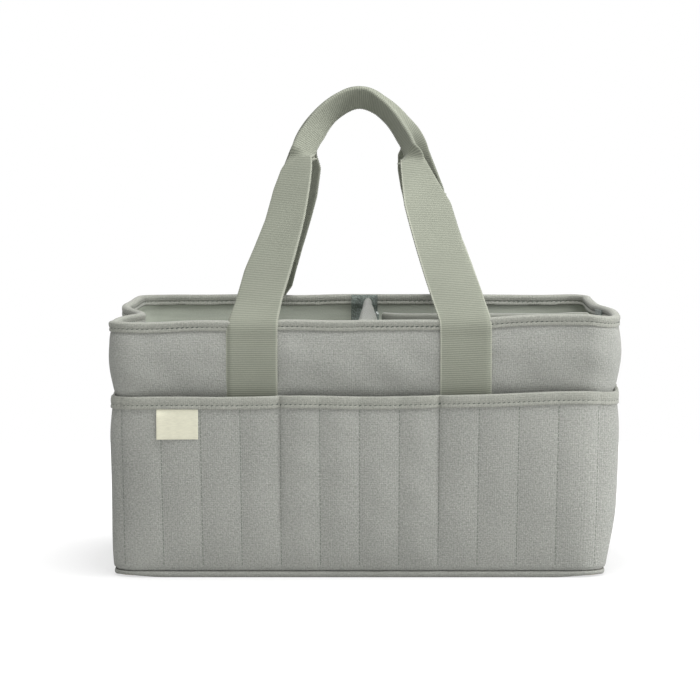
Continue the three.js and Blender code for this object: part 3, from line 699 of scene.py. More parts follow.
def pressed_greyboard(name, tone):
    """Recycled greyboard: pressed paper pulp with 3 mm flecks, dry and matt."""
    material, tree = new_material(name)
    place = add_node(tree, "ShaderNodeTexCoord").outputs["Object"]
    pulp = add_node(tree, "ShaderNodeTexNoise", {"Vector": place, "Scale": per_metre(3), "Detail": 5.0})
    flecked = mottle(tree, tone, pulp.outputs["Fac"], (0.3, 0.7), (0.8, 1.1))
    close_material(tree, {"Base Color": flecked, "Roughness": 0.95})
    return material


def finish(name):
    """The named finish, made the first time that it is asked for."""
    found = bpy.data.materials.get(name)
    if found:
        return found
    tones, straps = bpy.context.scene.caddy_colours, bpy.context.scene.caddy_handles
    makers = {
        "outer_canvas": lambda: melange_canvas(name, tones.outer_dark, tones.outer_light),
        "quilted_canvas": lambda: melange_canvas(name, tones.outer_dark, tones.outer_light, 1.1),
        "binding_canvas": lambda: melange_canvas(name, tones.binding_dark, tones.binding_light, 0.9),
        "base_canvas": lambda: melange_canvas(name, tones.binding_dark, tones.outer_light, 0.8),
        "lining_taffeta": lambda: lining_taffeta(name, tones.lining),
        "grosgrain_webbing": lambda: grosgrain_webbing(
            name, tones.webbing, tones.webbing_shade_between_ribs, tones.selvedge, straps.rib, straps.webbing_width
        ),
        "brushed_cloth": lambda: brushed_cloth(name, tones.felt),
        # The same cloth, painted paler as painted light
        "brushed_cloth_painted_light": lambda: brushed_cloth(name, tones.felt_painted_light),
        "hook_and_loop": lambda: hook_and_loop(name, tones.tape),
        "woven_label": lambda: woven_label(name, tones.label),
        "sewing_thread": lambda: sewing_thread(name, tones.thread),
        "quilting_thread": lambda: sewing_thread(name, tones.quilting),
        "pressed_greyboard": lambda: pressed_greyboard(name, tones.greyboard),
    }
    return makers[name]()


# Stitches

EDGE_SLANT = 0.5  # turn of the stitches along a binding, in radians
EDGE_THREAD = 1.1 * MM  # thickness of those stitches


def stitch_form(length, thickness):
    """One stitch modelled by hand: a thin bead, drawn in at both ends where the thread goes down."""
    bpy.ops.object.select_all(action="DESELECT")
    bpy.ops.mesh.primitive_cylinder_add(
        vertices=6, radius=thickness / 2, depth=length, rotation=(0, math.pi / 2, 0)
    )
    bead = bpy.context.object
    bpy.ops.object.transform_apply(location=True, rotation=True, scale=True)
    bpy.ops.object.mode_set(mode="EDIT")
    bpy.ops.mesh.select_mode(type="FACE")
    bpy.ops.mesh.select_all(action="DESELECT")
    shape = bmesh.from_edit_mesh(bead.data)
    for face in shape.faces:
        face.select_set(abs(face.normal.x) > 0.9)
    bmesh.update_edit_mesh(bead.data)
    bpy.ops.mesh.inset(thickness=thickness * 0.18, depth=thickness * 0.3)
    bpy.ops.object.mode_set(mode="OBJECT")
    points = points_of(bead)
    faces = [list(face.vertices) for face in bead.data.polygons]
    bpy.data.objects.remove(bead)
    points[:, 2] -= np.clip(abs(points[:, 0]) / (length / 2), 0, 1) ** 4 * thickness / 2
    return points, faces


def stitch_rows(name, rows, pitch, body, thickness=0.9 * MM, slant=0.0, thread="sewing_thread"):
    """Copies the stitch along rows of points. Each row is its points and the cloth's normals there.

    The thread is drawn at 0.9 mm, half as thick again as the real one, so that it shows.
    """
    form, faces = stitch_form(pitch * 0.6, thickness)
    stitches = []
    for line, normals in rows:
        run = run_along(line)
        number = max(1, int(run[-1] / pitch))
        middles = (np.arange(number) + 0.5) * run[-1] / number
        reach = pitch * 0.3
        forward = unit(at_places(run, line, middles + reach) - at_places(run, line, middles - reach))
        across = unit(np.cross(at_places(run, normals, middles), forward))
        up = np.cross(forward, across)
        ahead = forward * math.cos(slant) + across * math.sin(slant)
        aside = across * math.cos(slant) - forward * math.sin(slant)
        turned = form @ np.stack([ahead, aside, up], axis=1)
        stitches.append(at_places(run, line, middles)[:, None] + turned)
    points = np.concatenate(stitches).reshape(-1, 3)
    starts = range(0, len(points), len(form))
    mesh = bpy.data.meshes.new(name)
    mesh.from_pydata(points.tolist(), [], [[start + v for v in face] for start in starts for face in faces])
    wear(piece_from(name, mesh, finish(thread)), body, "binding")


def surface_row(surface, along, z):
    """A row of points on a surface function, with the surface's normals."""
    along, z = np.broadcast_arrays(np.asarray(along, float), np.asarray(z, float))
    step = 0.4 * MM
    right = surface(along + step, z) - surface(along - step, z)
    up = surface(along, z + step) - surface(along, z - step)
    return surface(along, z), unit(np.cross(right, up))


# Padding

FILLED = {}  # how far each padded face has swelled: places along it, heights and swell, by the piece's name
PRESSURE = 90  # of the padding on the cloth
SPARE_CLOTH = 0.012  # share by which the fullest cloth is longer than its form
CLOTH_FRAMES = 20


def inflate(points, faces, held, fullness, cap):
    """Blows up padded cloth that is sewn down where held is true, and gives how far each point moves.

    Fullness is each point's share of the spare cloth. Blender's Cloth runs on a copy, with pressure and
    without gravity, and the copy is removed.
    """
    scene = bpy.context.scene
    mesh = bpy.data.meshes.new("padding_trial")
    mesh.from_pydata(points.tolist(), [], faces)
    trial = bpy.data.objects.new("padding_trial", mesh)
    scene.collection.objects.link(trial)
    sewn = trial.vertex_groups.new(name="sewn")
    sewn.add(np.flatnonzero(held).tolist(), 1.0, "REPLACE")
    taut = trial.vertex_groups.new(name="taut")
    for share in np.unique(fullness):
        taut.add(np.flatnonzero(fullness == share).tolist(), 1 - float(share), "REPLACE")
    cloth = trial.modifiers.new("Cloth", "CLOTH")
    cloth.collision_settings.use_collision = False
    settings = cloth.settings
    settings.quality = 6
    settings.mass = 0.1
    settings.vertex_group_mass = "sewn"
    settings.vertex_group_shrink = "taut"
    settings.shrink_min = -SPARE_CLOTH
    settings.shrink_max = 0
    settings.use_pressure = True
    settings.uniform_pressure_force = PRESSURE
    settings.bending_stiffness = 15
    settings.air_damping = 3
    settings.effector_weights.gravity = 0
    for number in range(CLOTH_FRAMES):
        scene.frame_set(number + 1)
    blown = np.empty(3 * len(points), np.float32)
    result = trial.evaluated_get(bpy.context.evaluated_depsgraph_get())
    result.data.vertices.foreach_get("co", blown)
    moved = blown.reshape(-1, 3) - points
    scene.frame_set(1)
    bpy.data.objects.remove(trial)
    bpy.data.meshes.remove(mesh)
    length = np.linalg.norm(moved, axis=1)[:, None]
    return moved * np.minimum(1, cap / np.maximum(length, 1e-9))


def fill_padding(name, surface, along, levels, held, fullness, cap):
    """Blows up a grid on a surface function, and keeps how far it swells square to the cloth."""
    grid_along, grid_z = np.meshgrid(along, levels, indexing="ij")
    grid, normals = surface_row(surface, grid_along, grid_z)
    index = np.arange(grid_along.size).reshape(grid_along.shape)
    faces = cells(index).reshape(-1, 4).tolist()
    moved = inflate(grid.reshape(-1, 3), faces, held.ravel(), fullness.ravel(), cap)
    swell = (moved.reshape(grid.shape) * normals).sum(axis=-1)
    smooth = even_out(even_out(swell, 1).T, 1).T
    FILLED[name] = along, levels, np.where(held, 0, np.maximum(smooth, 0))


def filled(name, along, z):
    """Swell of a filled face at places along it and heights, even between the points of its grid."""
    stops, levels, swell = FILLED[name]
    i = np.clip(np.searchsorted(stops, along) - 1, 0, len(stops) - 2)
    j = np.clip(np.searchsorted(levels, z) - 1, 0, len(levels) - 2)
    s = np.clip((along - stops[i]) / (stops[i + 1] - stops[i]), 0, 1)
    t = np.clip((z - levels[j]) / (levels[j + 1] - levels[j]), 0, 1)
    return lerp(lerp(swell[i, j], swell[i + 1, j], s), lerp(swell[i, j + 1], swell[i + 1, j + 1], s), t)


# Padded walls, lining and base

class CADDY_OT_walls(bpy.types.Operator):
    """Make the two padded wall wraps, with their swell and the folds of the sides"""

    bl_idname = "caddy.walls"
    bl_label = "Padded walls"

    def execute(self, context):
        plan = Plan()
        body = context.scene.caddy_body
        hidden = body.wall - body.padding
        pressed = plan.thickness(WALL_TOP) - hidden
        # Few rows behind the pockets, and many in the swell above them
        low = [SEAM, *np.array([35, 70, 100, 120, 130]) * MM]
        levels = np.concatenate([low, spaced(MOUTH - 2 * MM, RIM_LOW + 1 * MM, 2.2 * MM)])
        # The top edge in rows: how far below the top, and how far in from the outer cloth
        edge = [(0.6 * MM, 0.5 * MM), (0, 1 * MM), (0, pressed - 0.5 * MM), (0.6 * MM, pressed)]
        side_foam = {"front": "foam_left", "back": "foam_right"}
        for face, sy in FACES:
            along = plan.wrap_places(sy, 3 * MM)
            grid_along, grid_z = np.meshgrid(along, levels, indexing="ij")
            out = band_swell(plan, face, sy, along, grid_along, grid_z)
            out[[0, -1]] -= 0.8 * MM  # the side seams, drawn in
            outer = plan.place(grid_along, grid_z, out)
            top = np.stack([plan.place(along, WALL_TOP - down, -inset) for down, inset in edge], axis=1)
            shown = np.concatenate([outer, top], axis=1)
            inner = plan.place(grid_along, grid_z, hidden - plan.thickness(grid_z))
            wall = sew_layers(f"padded_wall_{face}", along, shown, inner, finish("outer_canvas"), SEAM)
            wear(wall, "caddy", "outer_fabric", f"outer_{face}_wrap", f"foam_{face}", side_foam[face])
        return {"FINISHED"}


def band_swell(plan, face, sy, along, grid_along, grid_z):
    """Swell of the padding between the pocket mouths and the rim, blown up from a slightly smaller shape."""
    drawn_in = 0.8 * MM
    blend = 12 * MM

    def start(place, z):
        in_band = smoothstep(z, MOUTH, MOUTH + blend) * (1 - smoothstep(z, RIM_LOW - blend, RIM_LOW))
        return (ripple(place, z * 1.6, 46 * MM, 3 + sy) * 0.5 * MM - drawn_in) * in_band

    def surface(place, z):
        return plan.place(place, z, start(place, z))

    name = f"padded_wall_{face}"
    stops = spaced(along[0], along[-1], 5 * MM)
    levels = spaced(MOUTH - 2 * MM, RIM_LOW + 1 * MM, 4 * MM)
    places, heights = np.meshgrid(stops, levels, indexing="ij")
    straps = bpy.context.scene.caddy_handles
    from_leg = abs(abs(places - (along[0] + along[-1]) / 2) - straps.foot)
    held = (from_leg < straps.webbing_width / 2) | (heights < MOUTH) | (heights > RIM_LOW - 3 * MM)
    held[[0, -1]] = True
    fill_padding(name, surface, stops, levels, held, np.ones_like(places), 1.6 * MM)
    return start(grid_along, grid_z) + filled(name, grid_along, grid_z)


class CADDY_OT_lining(bpy.types.Operator):
    """Make the two lining wraps and the lining of the floor"""

    bl_idname = "caddy.lining"
    bl_label = "Lining"

    def execute(self, context):
        plan = Plan()
        thick = context.scene.caddy_body.lining
        levels = spaced(FLOOR + 0.3 * MM, WALL_TOP, 7 * MM)
        for face, sy in FACES:
            along = plan.wrap_places(sy, 4 * MM)
            grid_along, grid_z = np.meshgrid(along, levels, indexing="ij")
            loose = 0.35 * MM * (1 + ripple(grid_along, grid_z, 60 * MM, 11 + sy))
            slack = loose * np.sin(np.clip((grid_z - FLOOR) / (RIM_LOW - FLOOR), 0, 1) * math.pi)
            inset = plan.thickness(grid_z) + slack
            shown = plan.place(grid_along, grid_z, -inset)
            hidden = plan.place(grid_along, grid_z, thick - inset)
            lining = sew_layers(f"lining_wrap_{face}", along, shown, hidden, finish("lining_taffeta"))
            wear(lining, "caddy", "lining_fabric", f"lining_{face}_wrap")
        outlines = [(-5.8, SEAM), (-5.75, SEAM + 0.5 * MM), (-6.3, FLOOR)]
        floor = stack_plate("floor_cloth", plan, outlines, finish("lining_taffeta"))
        wear(floor, "caddy", "lining_fabric", "floor_lining")
        return {"FINISHED"}


def stack_plate(name, plan, outlines, material):
    """A flat tray from outlines, each a distance out from the wall in millimetres and a height."""
    number = 2 * round(plan.length / (2 * 4 * MM))
    step = plan.length / number
    around = -plan.mid_side + (np.arange(number) + 0.5) * step
    rings = np.stack([plan.place(around, z, out * MM) for out, z in outlines])
    girth = np.concatenate([around, [around[-1] + step]])
    return sew(name, rings, run_along(rings[:, 0]), girth, material, cap_flat=True)


class CADDY_OT_base(bpy.types.Operator):
    """Make the base cloth with its rolled lip, and finish the board inside it"""

    bl_idname = "caddy.base"
    bl_label = "Base"

    def execute(self, context):
        # In millimetres: the lower edge's roll, and the lip, which turns up outside the wall, over and down
        roll, reach = 2.4, 2.45
        lip = [(2.5, 2.8), (reach, 3.6), (2.2, 4.3), (1.8, 4.75), (1.45, 4.7), (1.4, 1.2)]
        turn = np.radians([0, 20, 40, 60, 80])
        edge = [(reach - roll * (1 - math.sin(a)), roll * (1 - math.cos(a))) for a in turn]
        outlines = [(out, z * MM) for out, z in edge + lip]
        base = stack_plate("base_cloth", Plan(), outlines, finish("base_canvas"))
        # The corners of the underside don't quite reach the floor
        corner_lift, lip_top = 2.2 * MM, 4.7 * MM
        points = points_of(base)
        x, y, z = points.T
        corner = smoothstep(abs(x), 145 * MM, 184 * MM) * smoothstep(abs(y), 85 * MM, 112 * MM)
        points[:, 2] = z + corner_lift * corner * np.maximum(0, 1 - z / lip_top)
        move_points(base, points)
        wear(base, "caddy", "base_fabric", "base_panel")
        board = frame["nodes"]["base_board"]
        board.data.materials.clear()
        board.data.materials.append(finish("pressed_greyboard"))
        return {"FINISHED"}


class CADDY_OT_rim(bpy.types.Operator):
    """Make the rim binding with its drawn-in stitch lines, and the two rows of stitches"""

    bl_idname = "caddy.rim"
    bl_label = "Rim binding"

    STITCHES_UP = 2.9  # millimetres from the tape's lower edge to its stitches
    TAPE_WIDTH = 22 * MM

    def execute(self, context):
        plan = Plan()
        number = round(plan.length / (2.5 * MM))
        around = np.arange(number) * plan.length / number
        middle = -plan.thickness(RIM_TOP) / 2
        section = self.section(middle)
        out, up = section.T
        grid_along = np.repeat(around[:, None], len(section), axis=1)
        puff = ripple(grid_along, up, 26 * MM, 22) * 0.18 * MM
        puffed = out + np.where(out > middle, puff, -puff)
        rings = plan.place(grid_along, up + self.wander(grid_along), puffed)
        along = np.concatenate([around, [plan.length]])
        rim = sew("rim_tape", rings, along, girth_of(section), finish("binding_canvas"), looped=True)
        wear(rim, "caddy", "binding", "rim_binding")

        def stitch_line(out):
            """A row of stitches at a distance out from the outer cloth."""

            def surface(at, z):
                return plan.place(at, z + self.wander(at), out)

            return surface_row(surface, np.linspace(0, plan.length, number), RIM_LOW + self.STITCHES_UP * MM)

        pitch = context.scene.caddy_pockets.edge_stitch
        proud = 1 * MM
        stitch_rows("rim_stitches", [stitch_line(proud)], pitch, "caddy", EDGE_THREAD, EDGE_SLANT)
        line, normals = stitch_line(2 * middle - proud)
        inner_row = [(line, -normals)]
        stitch_rows("rim_lining_stitches", inner_row, pitch, "caddy", 0.9 * MM, EDGE_SLANT, "quilting_thread")
        return {"FINISHED"}

    def section(self, middle):
        """The folded tape's section round the wall's edge: how far out from the outer cloth, and how high."""

        def mirrored(rows):
            return [(2 * middle - out, z) for out, z in rows[::-1]]

        # Up the outer skirt, drawn in at its stitches, in millimetres
        skirt = [
            (0.9, 0), (1.3, 0.3), (1.35, 1.3), (1.15, 2.2), (0.7, self.STITCHES_UP),
            (1.1, 3.6), (1.25, 4.6), (1.25, 5.6),
        ]
        outer = [(out * MM, RIM_LOW + z * MM) for out, z in skirt]
        # Over the fold
        half, fold_z = outer[-1][0] - middle, RIM_TOP - 2 * MM
        arch = np.radians(np.arange(12, 169, 12))
        dome = [(middle + math.cos(a) * half, lerp(fold_z, RIM_TOP, math.sin(a))) for a in arch]
        # The tape's other face, against the wall
        hem = [(0.3 * MM, RIM_LOW + 0.2 * MM), (0.25 * MM, RIM_LOW + 3 * MM)]
        inside = [(lerp(middle, out, 0.66), z - 0.9 * MM) for out, z in dome]
        return np.array(outer + dome + mirrored(outer) + (hem + inside + mirrored(hem))[::-1])

    def wander(self, along):
        """How far the tape strays up and down."""
        return ripple(along, 0, 90 * MM, 21) * 0.5 * MM


# Pockets

class Band:
    """One quilted band of the pocket round, between two corner seams."""

    JOIN = 0.02 * MM  # from a corner seam to the end of each band that meets there
    FOLD = 0.35  # share of the sides' folds that the bands follow
    FIRST_PUFF = 0.35  # share of the swell that a channel has before it is blown up

    def __init__(self, name, plan, middle, half, pockets, channels, gape, hug, puffs):
        self.name, self.plan, self.middle, self.half = name, plan, middle, half
        self.pockets, self.channels, self.gape, self.hug, self.puffs = pockets, channels, gape, hug, puffs
        self.sizes = bpy.context.scene.caddy_pockets
        self.reach = half - self.JOIN

    def stops(self, steps):
        """Places along the band, with every sewn line among them."""
        return self.middle + np.linspace(-self.reach, self.reach, self.channels * steps + 1)

    def seams(self):
        """Places of the sewn lines."""
        return self.stops(1)

    def share(self, along):
        """How much of the band's length lies before a place."""
        return np.clip((along - self.middle + self.reach) / (2 * self.reach), 0, 1)

    def open(self, along, z):
        """How far the pocket stands off its sewn seat. Where a band hugs the wall, its mouth lies closed."""
        share = self.share(along)
        in_pocket = np.mod(share * self.pockets, 1)
        rise = np.clip((z - SEAM) / (MOUTH - SEAM), 0, 1)
        held = 0.45 * (2 * in_pocket - 1) ** 20
        hugged = self.hug * smoothstep(rise, 0.75, 1)
        return self.gape * (1 - (2 * share - 1) ** 8) * (1 - held) * (1 - (1 - rise) ** 3) * (1 - hugged)

    def fullness(self, along):
        """Swell that a channel at this place is to have."""
        pocket = np.clip(self.share(along) * self.pockets, 0, self.pockets - 0.001)
        return np.asarray(self.puffs)[pocket.astype(int)]

    def fill(self):
        """Blows up the channels between their sewn lines, most where the photographed ones are fullest."""
        steps = 8
        along = self.stops(steps)
        levels = np.concatenate([[SEAM], spaced(SEAM + 3 * MM, POCKET_TOP, 5 * MM)])
        grid_along, grid_z = np.meshgrid(along, levels, indexing="ij")
        held = (grid_z < SEAM + 2 * MM) | (grid_z > MOUTH_LOW)
        held[::steps] = True
        spare = (self.fullness(grid_along) / self.sizes.puff_middle) ** 2
        fill_padding(self.name, self.surface(), along, levels, held, spare, 1.3 * self.sizes.puff_middle)

    def puff(self, along, z):
        """Swell of the quilting, drawn in at each sewn line, at the bottom seam and under the binding."""
        crown = self.whole_puff(along, z)
        blown = filled(self.name, along, z) if self.name in FILLED else 0
        return self.FIRST_PUFF * crown + blown

    def whole_puff(self, along, z):
        """The channels' form, worked out without blowing them up."""
        in_channel = np.mod(self.share(along) * self.channels, 1)
        crown = np.clip(1 - (2 * in_channel - 1) ** 2, 0, 1) ** 0.7
        bottom = smoothstep(z, SEAM, SEAM + 16 * MM)
        top = 1 - 0.45 * smoothstep(z, MOUTH_LOW - 22 * MM, MOUTH_LOW)
        uneven = 1 + 0.3 * ripple(along * 0.6, z, 55 * MM, 31)
        return self.fullness(along) * crown * bottom * top * uneven

    def hem(self, z):
        """1 at the bottom seam, where the cloth is drawn in behind the base's lip, and 0 just above it."""
        return 1 - smoothstep(z, SEAM, SEAM + 2.6 * MM)

    def back(self, along, z):
        """From the wall to the band's back."""
        return self.sizes.seat + self.open(along, z) - 1.3 * MM * self.hem(z)

    def face(self, along, z):
        """From the wall to the band's face."""
        return self.back(along, z) + self.sizes.cloth + self.puff(along, z) - 0.7 * MM * self.hem(z)

    def binding_face(self, along):
        """From the wall to the face that the binding lies on, drawn in at the pockets' seams."""
        lines = np.linspace(self.seams()[0], self.seams()[-1], self.pockets + 1)
        pull = 0.6 * MM * sum(bell(along, line, 1.8 * MM) for line in lines)
        return self.face(along, np.full_like(along, MOUTH_LOW - 1 * MM)) - pull

    def sag(self, along):
        """How far the binding strays up and down."""
        return ripple(along, 0, 80 * MM, 41) * 0.5 * MM

    def place(self, along, z, out):
        """Points that stand out from the wall, on cloth that follows its folds part of the way."""
        return self.plan.place(along, z, out, self.FOLD)

    def surface(self, proud=0.0):
        """The band's face, or a surface that stands proud of it."""
        return lambda along, z: self.place(along, z, self.face(along, z) + proud)


def bands():
    """The four bands by name."""
    plan = Plan()
    sizes = bpy.context.scene.caddy_pockets
    across, number = sizes.across, sizes.across * sizes.channels
    puffs = [sizes.puff_middle if i == across // 2 else sizes.puff for i in range(across)]
    long = dict(half=plan.corner_seam, pockets=across, channels=number, gape=sizes.gape, hug=0, puffs=puffs)
    short = dict(half=plan.length / 4 - plan.corner_seam, pockets=1, channels=sizes.side_channels)
    short.update(gape=sizes.side_gape, hug=0.9, puffs=[sizes.puff])
    return {
        "front": Band("front", plan, 0, **long),
        "back": Band("back", plan, plan.length / 2, **long),
        "right": Band("right", plan, plan.length / 4, **short),
        "left": Band("left", plan, -plan.length / 4, **short),
    }


class CADDY_OT_pockets(bpy.types.Operator):
    """Make the four quilted pocket bands and their quilting stitches"""

    bl_idname = "caddy.pockets"
    bl_label = "Quilted pockets"

    def execute(self, context):
        hem_rows = SEAM + np.array([0, 0.8, 2, 4]) * MM
        levels = np.concatenate([hem_rows, spaced(SEAM + 6 * MM, POCKET_TOP, 2.4 * MM)])
        heights = spaced(SEAM + 1.5 * MM, MOUTH_LOW - 0.5 * MM, 4 * MM)
        rows = []
        for name, band in bands().items():
            band.fill()
            along = band.stops(18)
            grid_along, grid_z = np.meshgrid(along, levels, indexing="ij")
            outer = band.surface()(grid_along, grid_z)
            inner = band.place(grid_along, grid_z, band.back(grid_along, grid_z))
            pocket = sew_layers(f"pocket_panel_{name}", along, outer, inner, finish("quilted_canvas"))
            wear(pocket, "caddy", "quilted_fabric", f"pocket_{name}")
            lines = band.seams()[1:-1]
            if name in dict(FACES):
                corner_lines = band.seams()[[0, -1]] + np.array([1.2, -1.2]) * MM
                lines = np.concatenate([lines, corner_lines])
            rows += [surface_row(band.surface(0.2 * MM), line, heights) for line in lines]
        pitch = context.scene.caddy_pockets.stitch
        stitch_rows("quilting_stitches", rows, pitch, "caddy", 0.8 * MM, thread="quilting_thread")
        return {"FINISHED"}


class CADDY_OT_pocket_bindings(bpy.types.Operator):
    """Make the bindings of the four pocket bands, with their stitches"""

    bl_idname = "caddy.pocket_bindings"
    bl_label = "Pocket bindings"

    STITCHES_UP = 3  # millimetres from the binding's lower edge to its stitches

    def execute(self, context):
        # The binding's face, from its lower edge up, drawn in at the stitches: millimetres out and up
        skirt = [
            (0.8, 0), (1.15, 0.3), (1.2, 1.4), (1.05, 2.3), (0.7, self.STITCHES_UP),
            (1, 3.8), (1.15, 5.2), (1.1, 6.8), (0.9, 8.2),
        ]
        rows = []
        for name, band in bands().items():
            along = band.stops(14)
            face = band.binding_face(along)
            back = band.back(along, np.full_like(along, MOUTH_LOW))
            columns = [(face + out * MM, MOUTH_LOW + z * MM) for out, z in skirt]
            # Over the fold, down behind the band, and back along both of the band's faces
            columns += [
                (face + 0.6 * MM, MOUTH - 0.3 * MM),
                ((face + back) / 2, MOUTH + 0.1 * MM),
                (back - 0.5 * MM, MOUTH),
                (back - 1.3 * MM, MOUTH - 1.2 * MM),
                (back - 1.3 * MM, MOUTH_LOW),
                (back - 0.3 * MM, MOUTH_LOW),
                (back - 0.3 * MM, MOUTH - 2 * MM),
                (face + 0.3 * MM, MOUTH - 2 * MM),
                (face + 0.3 * MM, MOUTH_LOW + 0.1 * MM),
            ]
            rings = np.stack([band.place(along, z + band.sag(along), out) for out, z in columns], axis=1)
            girth = girth_of(rings[len(along) // 2])
            tape = sew(f"pocket_tape_{name}", rings, along, girth, finish("binding_canvas"))
            wear(tape, "caddy", "binding", f"pocket_binding_{name}")

            def stitched(at, z, band=band):
                return band.place(at, z + band.sag(at), band.binding_face(at) + 0.95 * MM)

            places = spaced(along[0] + 2 * MM, along[-1] - 2 * MM, 3 * MM)
            rows.append(surface_row(stitched, places, MOUTH_LOW + self.STITCHES_UP * MM))
        pitch = context.scene.caddy_pockets.edge_stitch
        stitch_rows("pocket_stitches", rows, pitch, "caddy", EDGE_THREAD, EDGE_SLANT)
        return {"FINISHED"}


class CADDY_OT_label(bpy.types.Operator):
    """Make the bare label, laid on the pocket with its ends lifted a little"""

    bl_idname = "caddy.label"
    bl_label = "Label"

    def execute(self, context):
        sizes = context.scene.caddy_pockets
        front = bands()["front"]
        surface = front.surface()
        middle = sizes.label_in - front.half
        top = MOUTH_LOW + 1 * MM
        height = sizes.label_height + 2 * MM
        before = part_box("label")[0].y - 10 * MM
        bpy.ops.object.select_all(action="DESELECT")
        bpy.ops.mesh.primitive_grid_add(
            x_subdivisions=24,
            y_subdivisions=18,
            size=1,
            location=(middle, before, top - height / 2),
            rotation=(math.pi / 2, 0, 0),
        )
        label = bpy.context.object
        label.name = "label_ribbon"
        label.scale = (sizes.label_width, height, 1)
        bpy.ops.object.transform_apply(location=True, rotation=True, scale=True)
        # Each point is laid back on the pocket: flat over the channels, lifted at its ends, close at its top
        for vertex in label.data.vertices:
            x, z = vertex.co.x, vertex.co.z
            near = surface(np.array([x - sizes.puff, x, x + sizes.puff]), np.full(3, z))
            flat = min(surface(np.array([middle]), np.array([z]))[0, 1], near[:, 1].min())
            lifted = 0.3 * MM * (1 + smoothstep(abs(x - middle), 9 * MM, 15 * MM))
            under = smoothstep(z, top - 6 * MM, top - 1 * MM)
            vertex.co.y = lerp(flat - lifted, near[1, 1] - 0.3 * MM, under)
            vertex.co.z = near[1, 2]
        thick = label.modifiers.new("Ribbon", "SOLIDIFY")
        thick.thickness = 0.6 * MM
        thick.offset = 0
        edge = label.modifiers.new("Edge", "BEVEL")
        edge.width = 0.2 * MM
        edge.segments = 2
        for modifier in ("Ribbon", "Edge"):
            bpy.ops.object.modifier_apply(modifier=modifier)
        label.data.materials.append(finish("woven_label"))
        bpy.ops.object.shade_smooth_by_angle(angle=math.radians(40))
        wear(label, "caddy", "label", "label")
        return {"FINISHED"}


# Handles

# How each leg has set, in rows from its foot to the crown: millimetres up the loop from the bending line,
# from its middle line to the outer and the inner edge that show, and degrees of turn about that line, outer
# edge forward. Past the sharp turn near 148 mm the webbing is folded in half and is the grip.
FRONT_SET = {
    -1: (
        (0, 20, 17, 0), (20, 19, 14.4, -10), (48, 20, 13.8, -14), (68, 17.8, 13.4, -17),
        (92, 15.4, 12.8, -20), (118, 15, 11, -22), (135, 12.8, 9.4, -20), (146.5, 8.4, 7.4, -16),
        (150.5, 8, 9.4, 24), (170, 7.3, 10.4, 36), (186, 7.4, 8.2, 62), (198.5, 7.8, 8.6, 73),
    ),
    1: (
        (0, 18.8, 18.4, 0), (30, 19.2, 18.2, -3), (70, 17.6, 18, -10), (104, 16.2, 18, -12),
        (144, 4.4, 13.5, -4), (152, -0.7, 9.7, 68), (170, 0.1, 9.9, 74), (183, 2, 8.4, 78),
        (193, 4.2, 7.8, 82), (198.5, 7.8, 8.6, 73),
    ),
}
BACK_SET = {
    -1: (
        (0, 18.6, 18.6, 0), (12, 14.5, 22, 0), (36, 13, 20.5, 25), (60, 11.5, 19.5, 40),
        (114, 11.5, 19, 42), (139, 8.6, 16.6, 38), (148, 7.6, 11.5, 30), (175, 7.6, 8.6, 66),
        (193, 8.2, 9.2, 83), (198.5, 9.6, 9, 86),
    ),
    1: (
        (0, 18.6, 18.6, 0), (16, 16.8, 20, -8), (70, 15.6, 18.6, -17), (106, 14.6, 17.7, -24),
        (128, 12, 16.7, -16), (146, 9, 14.2, 4), (162, 7.8, 9, 43), (171, 6.4, 9, 63),
        (190, 6.8, 9.2, 85), (198.5, 9.6, 9, 86),
    ),
}


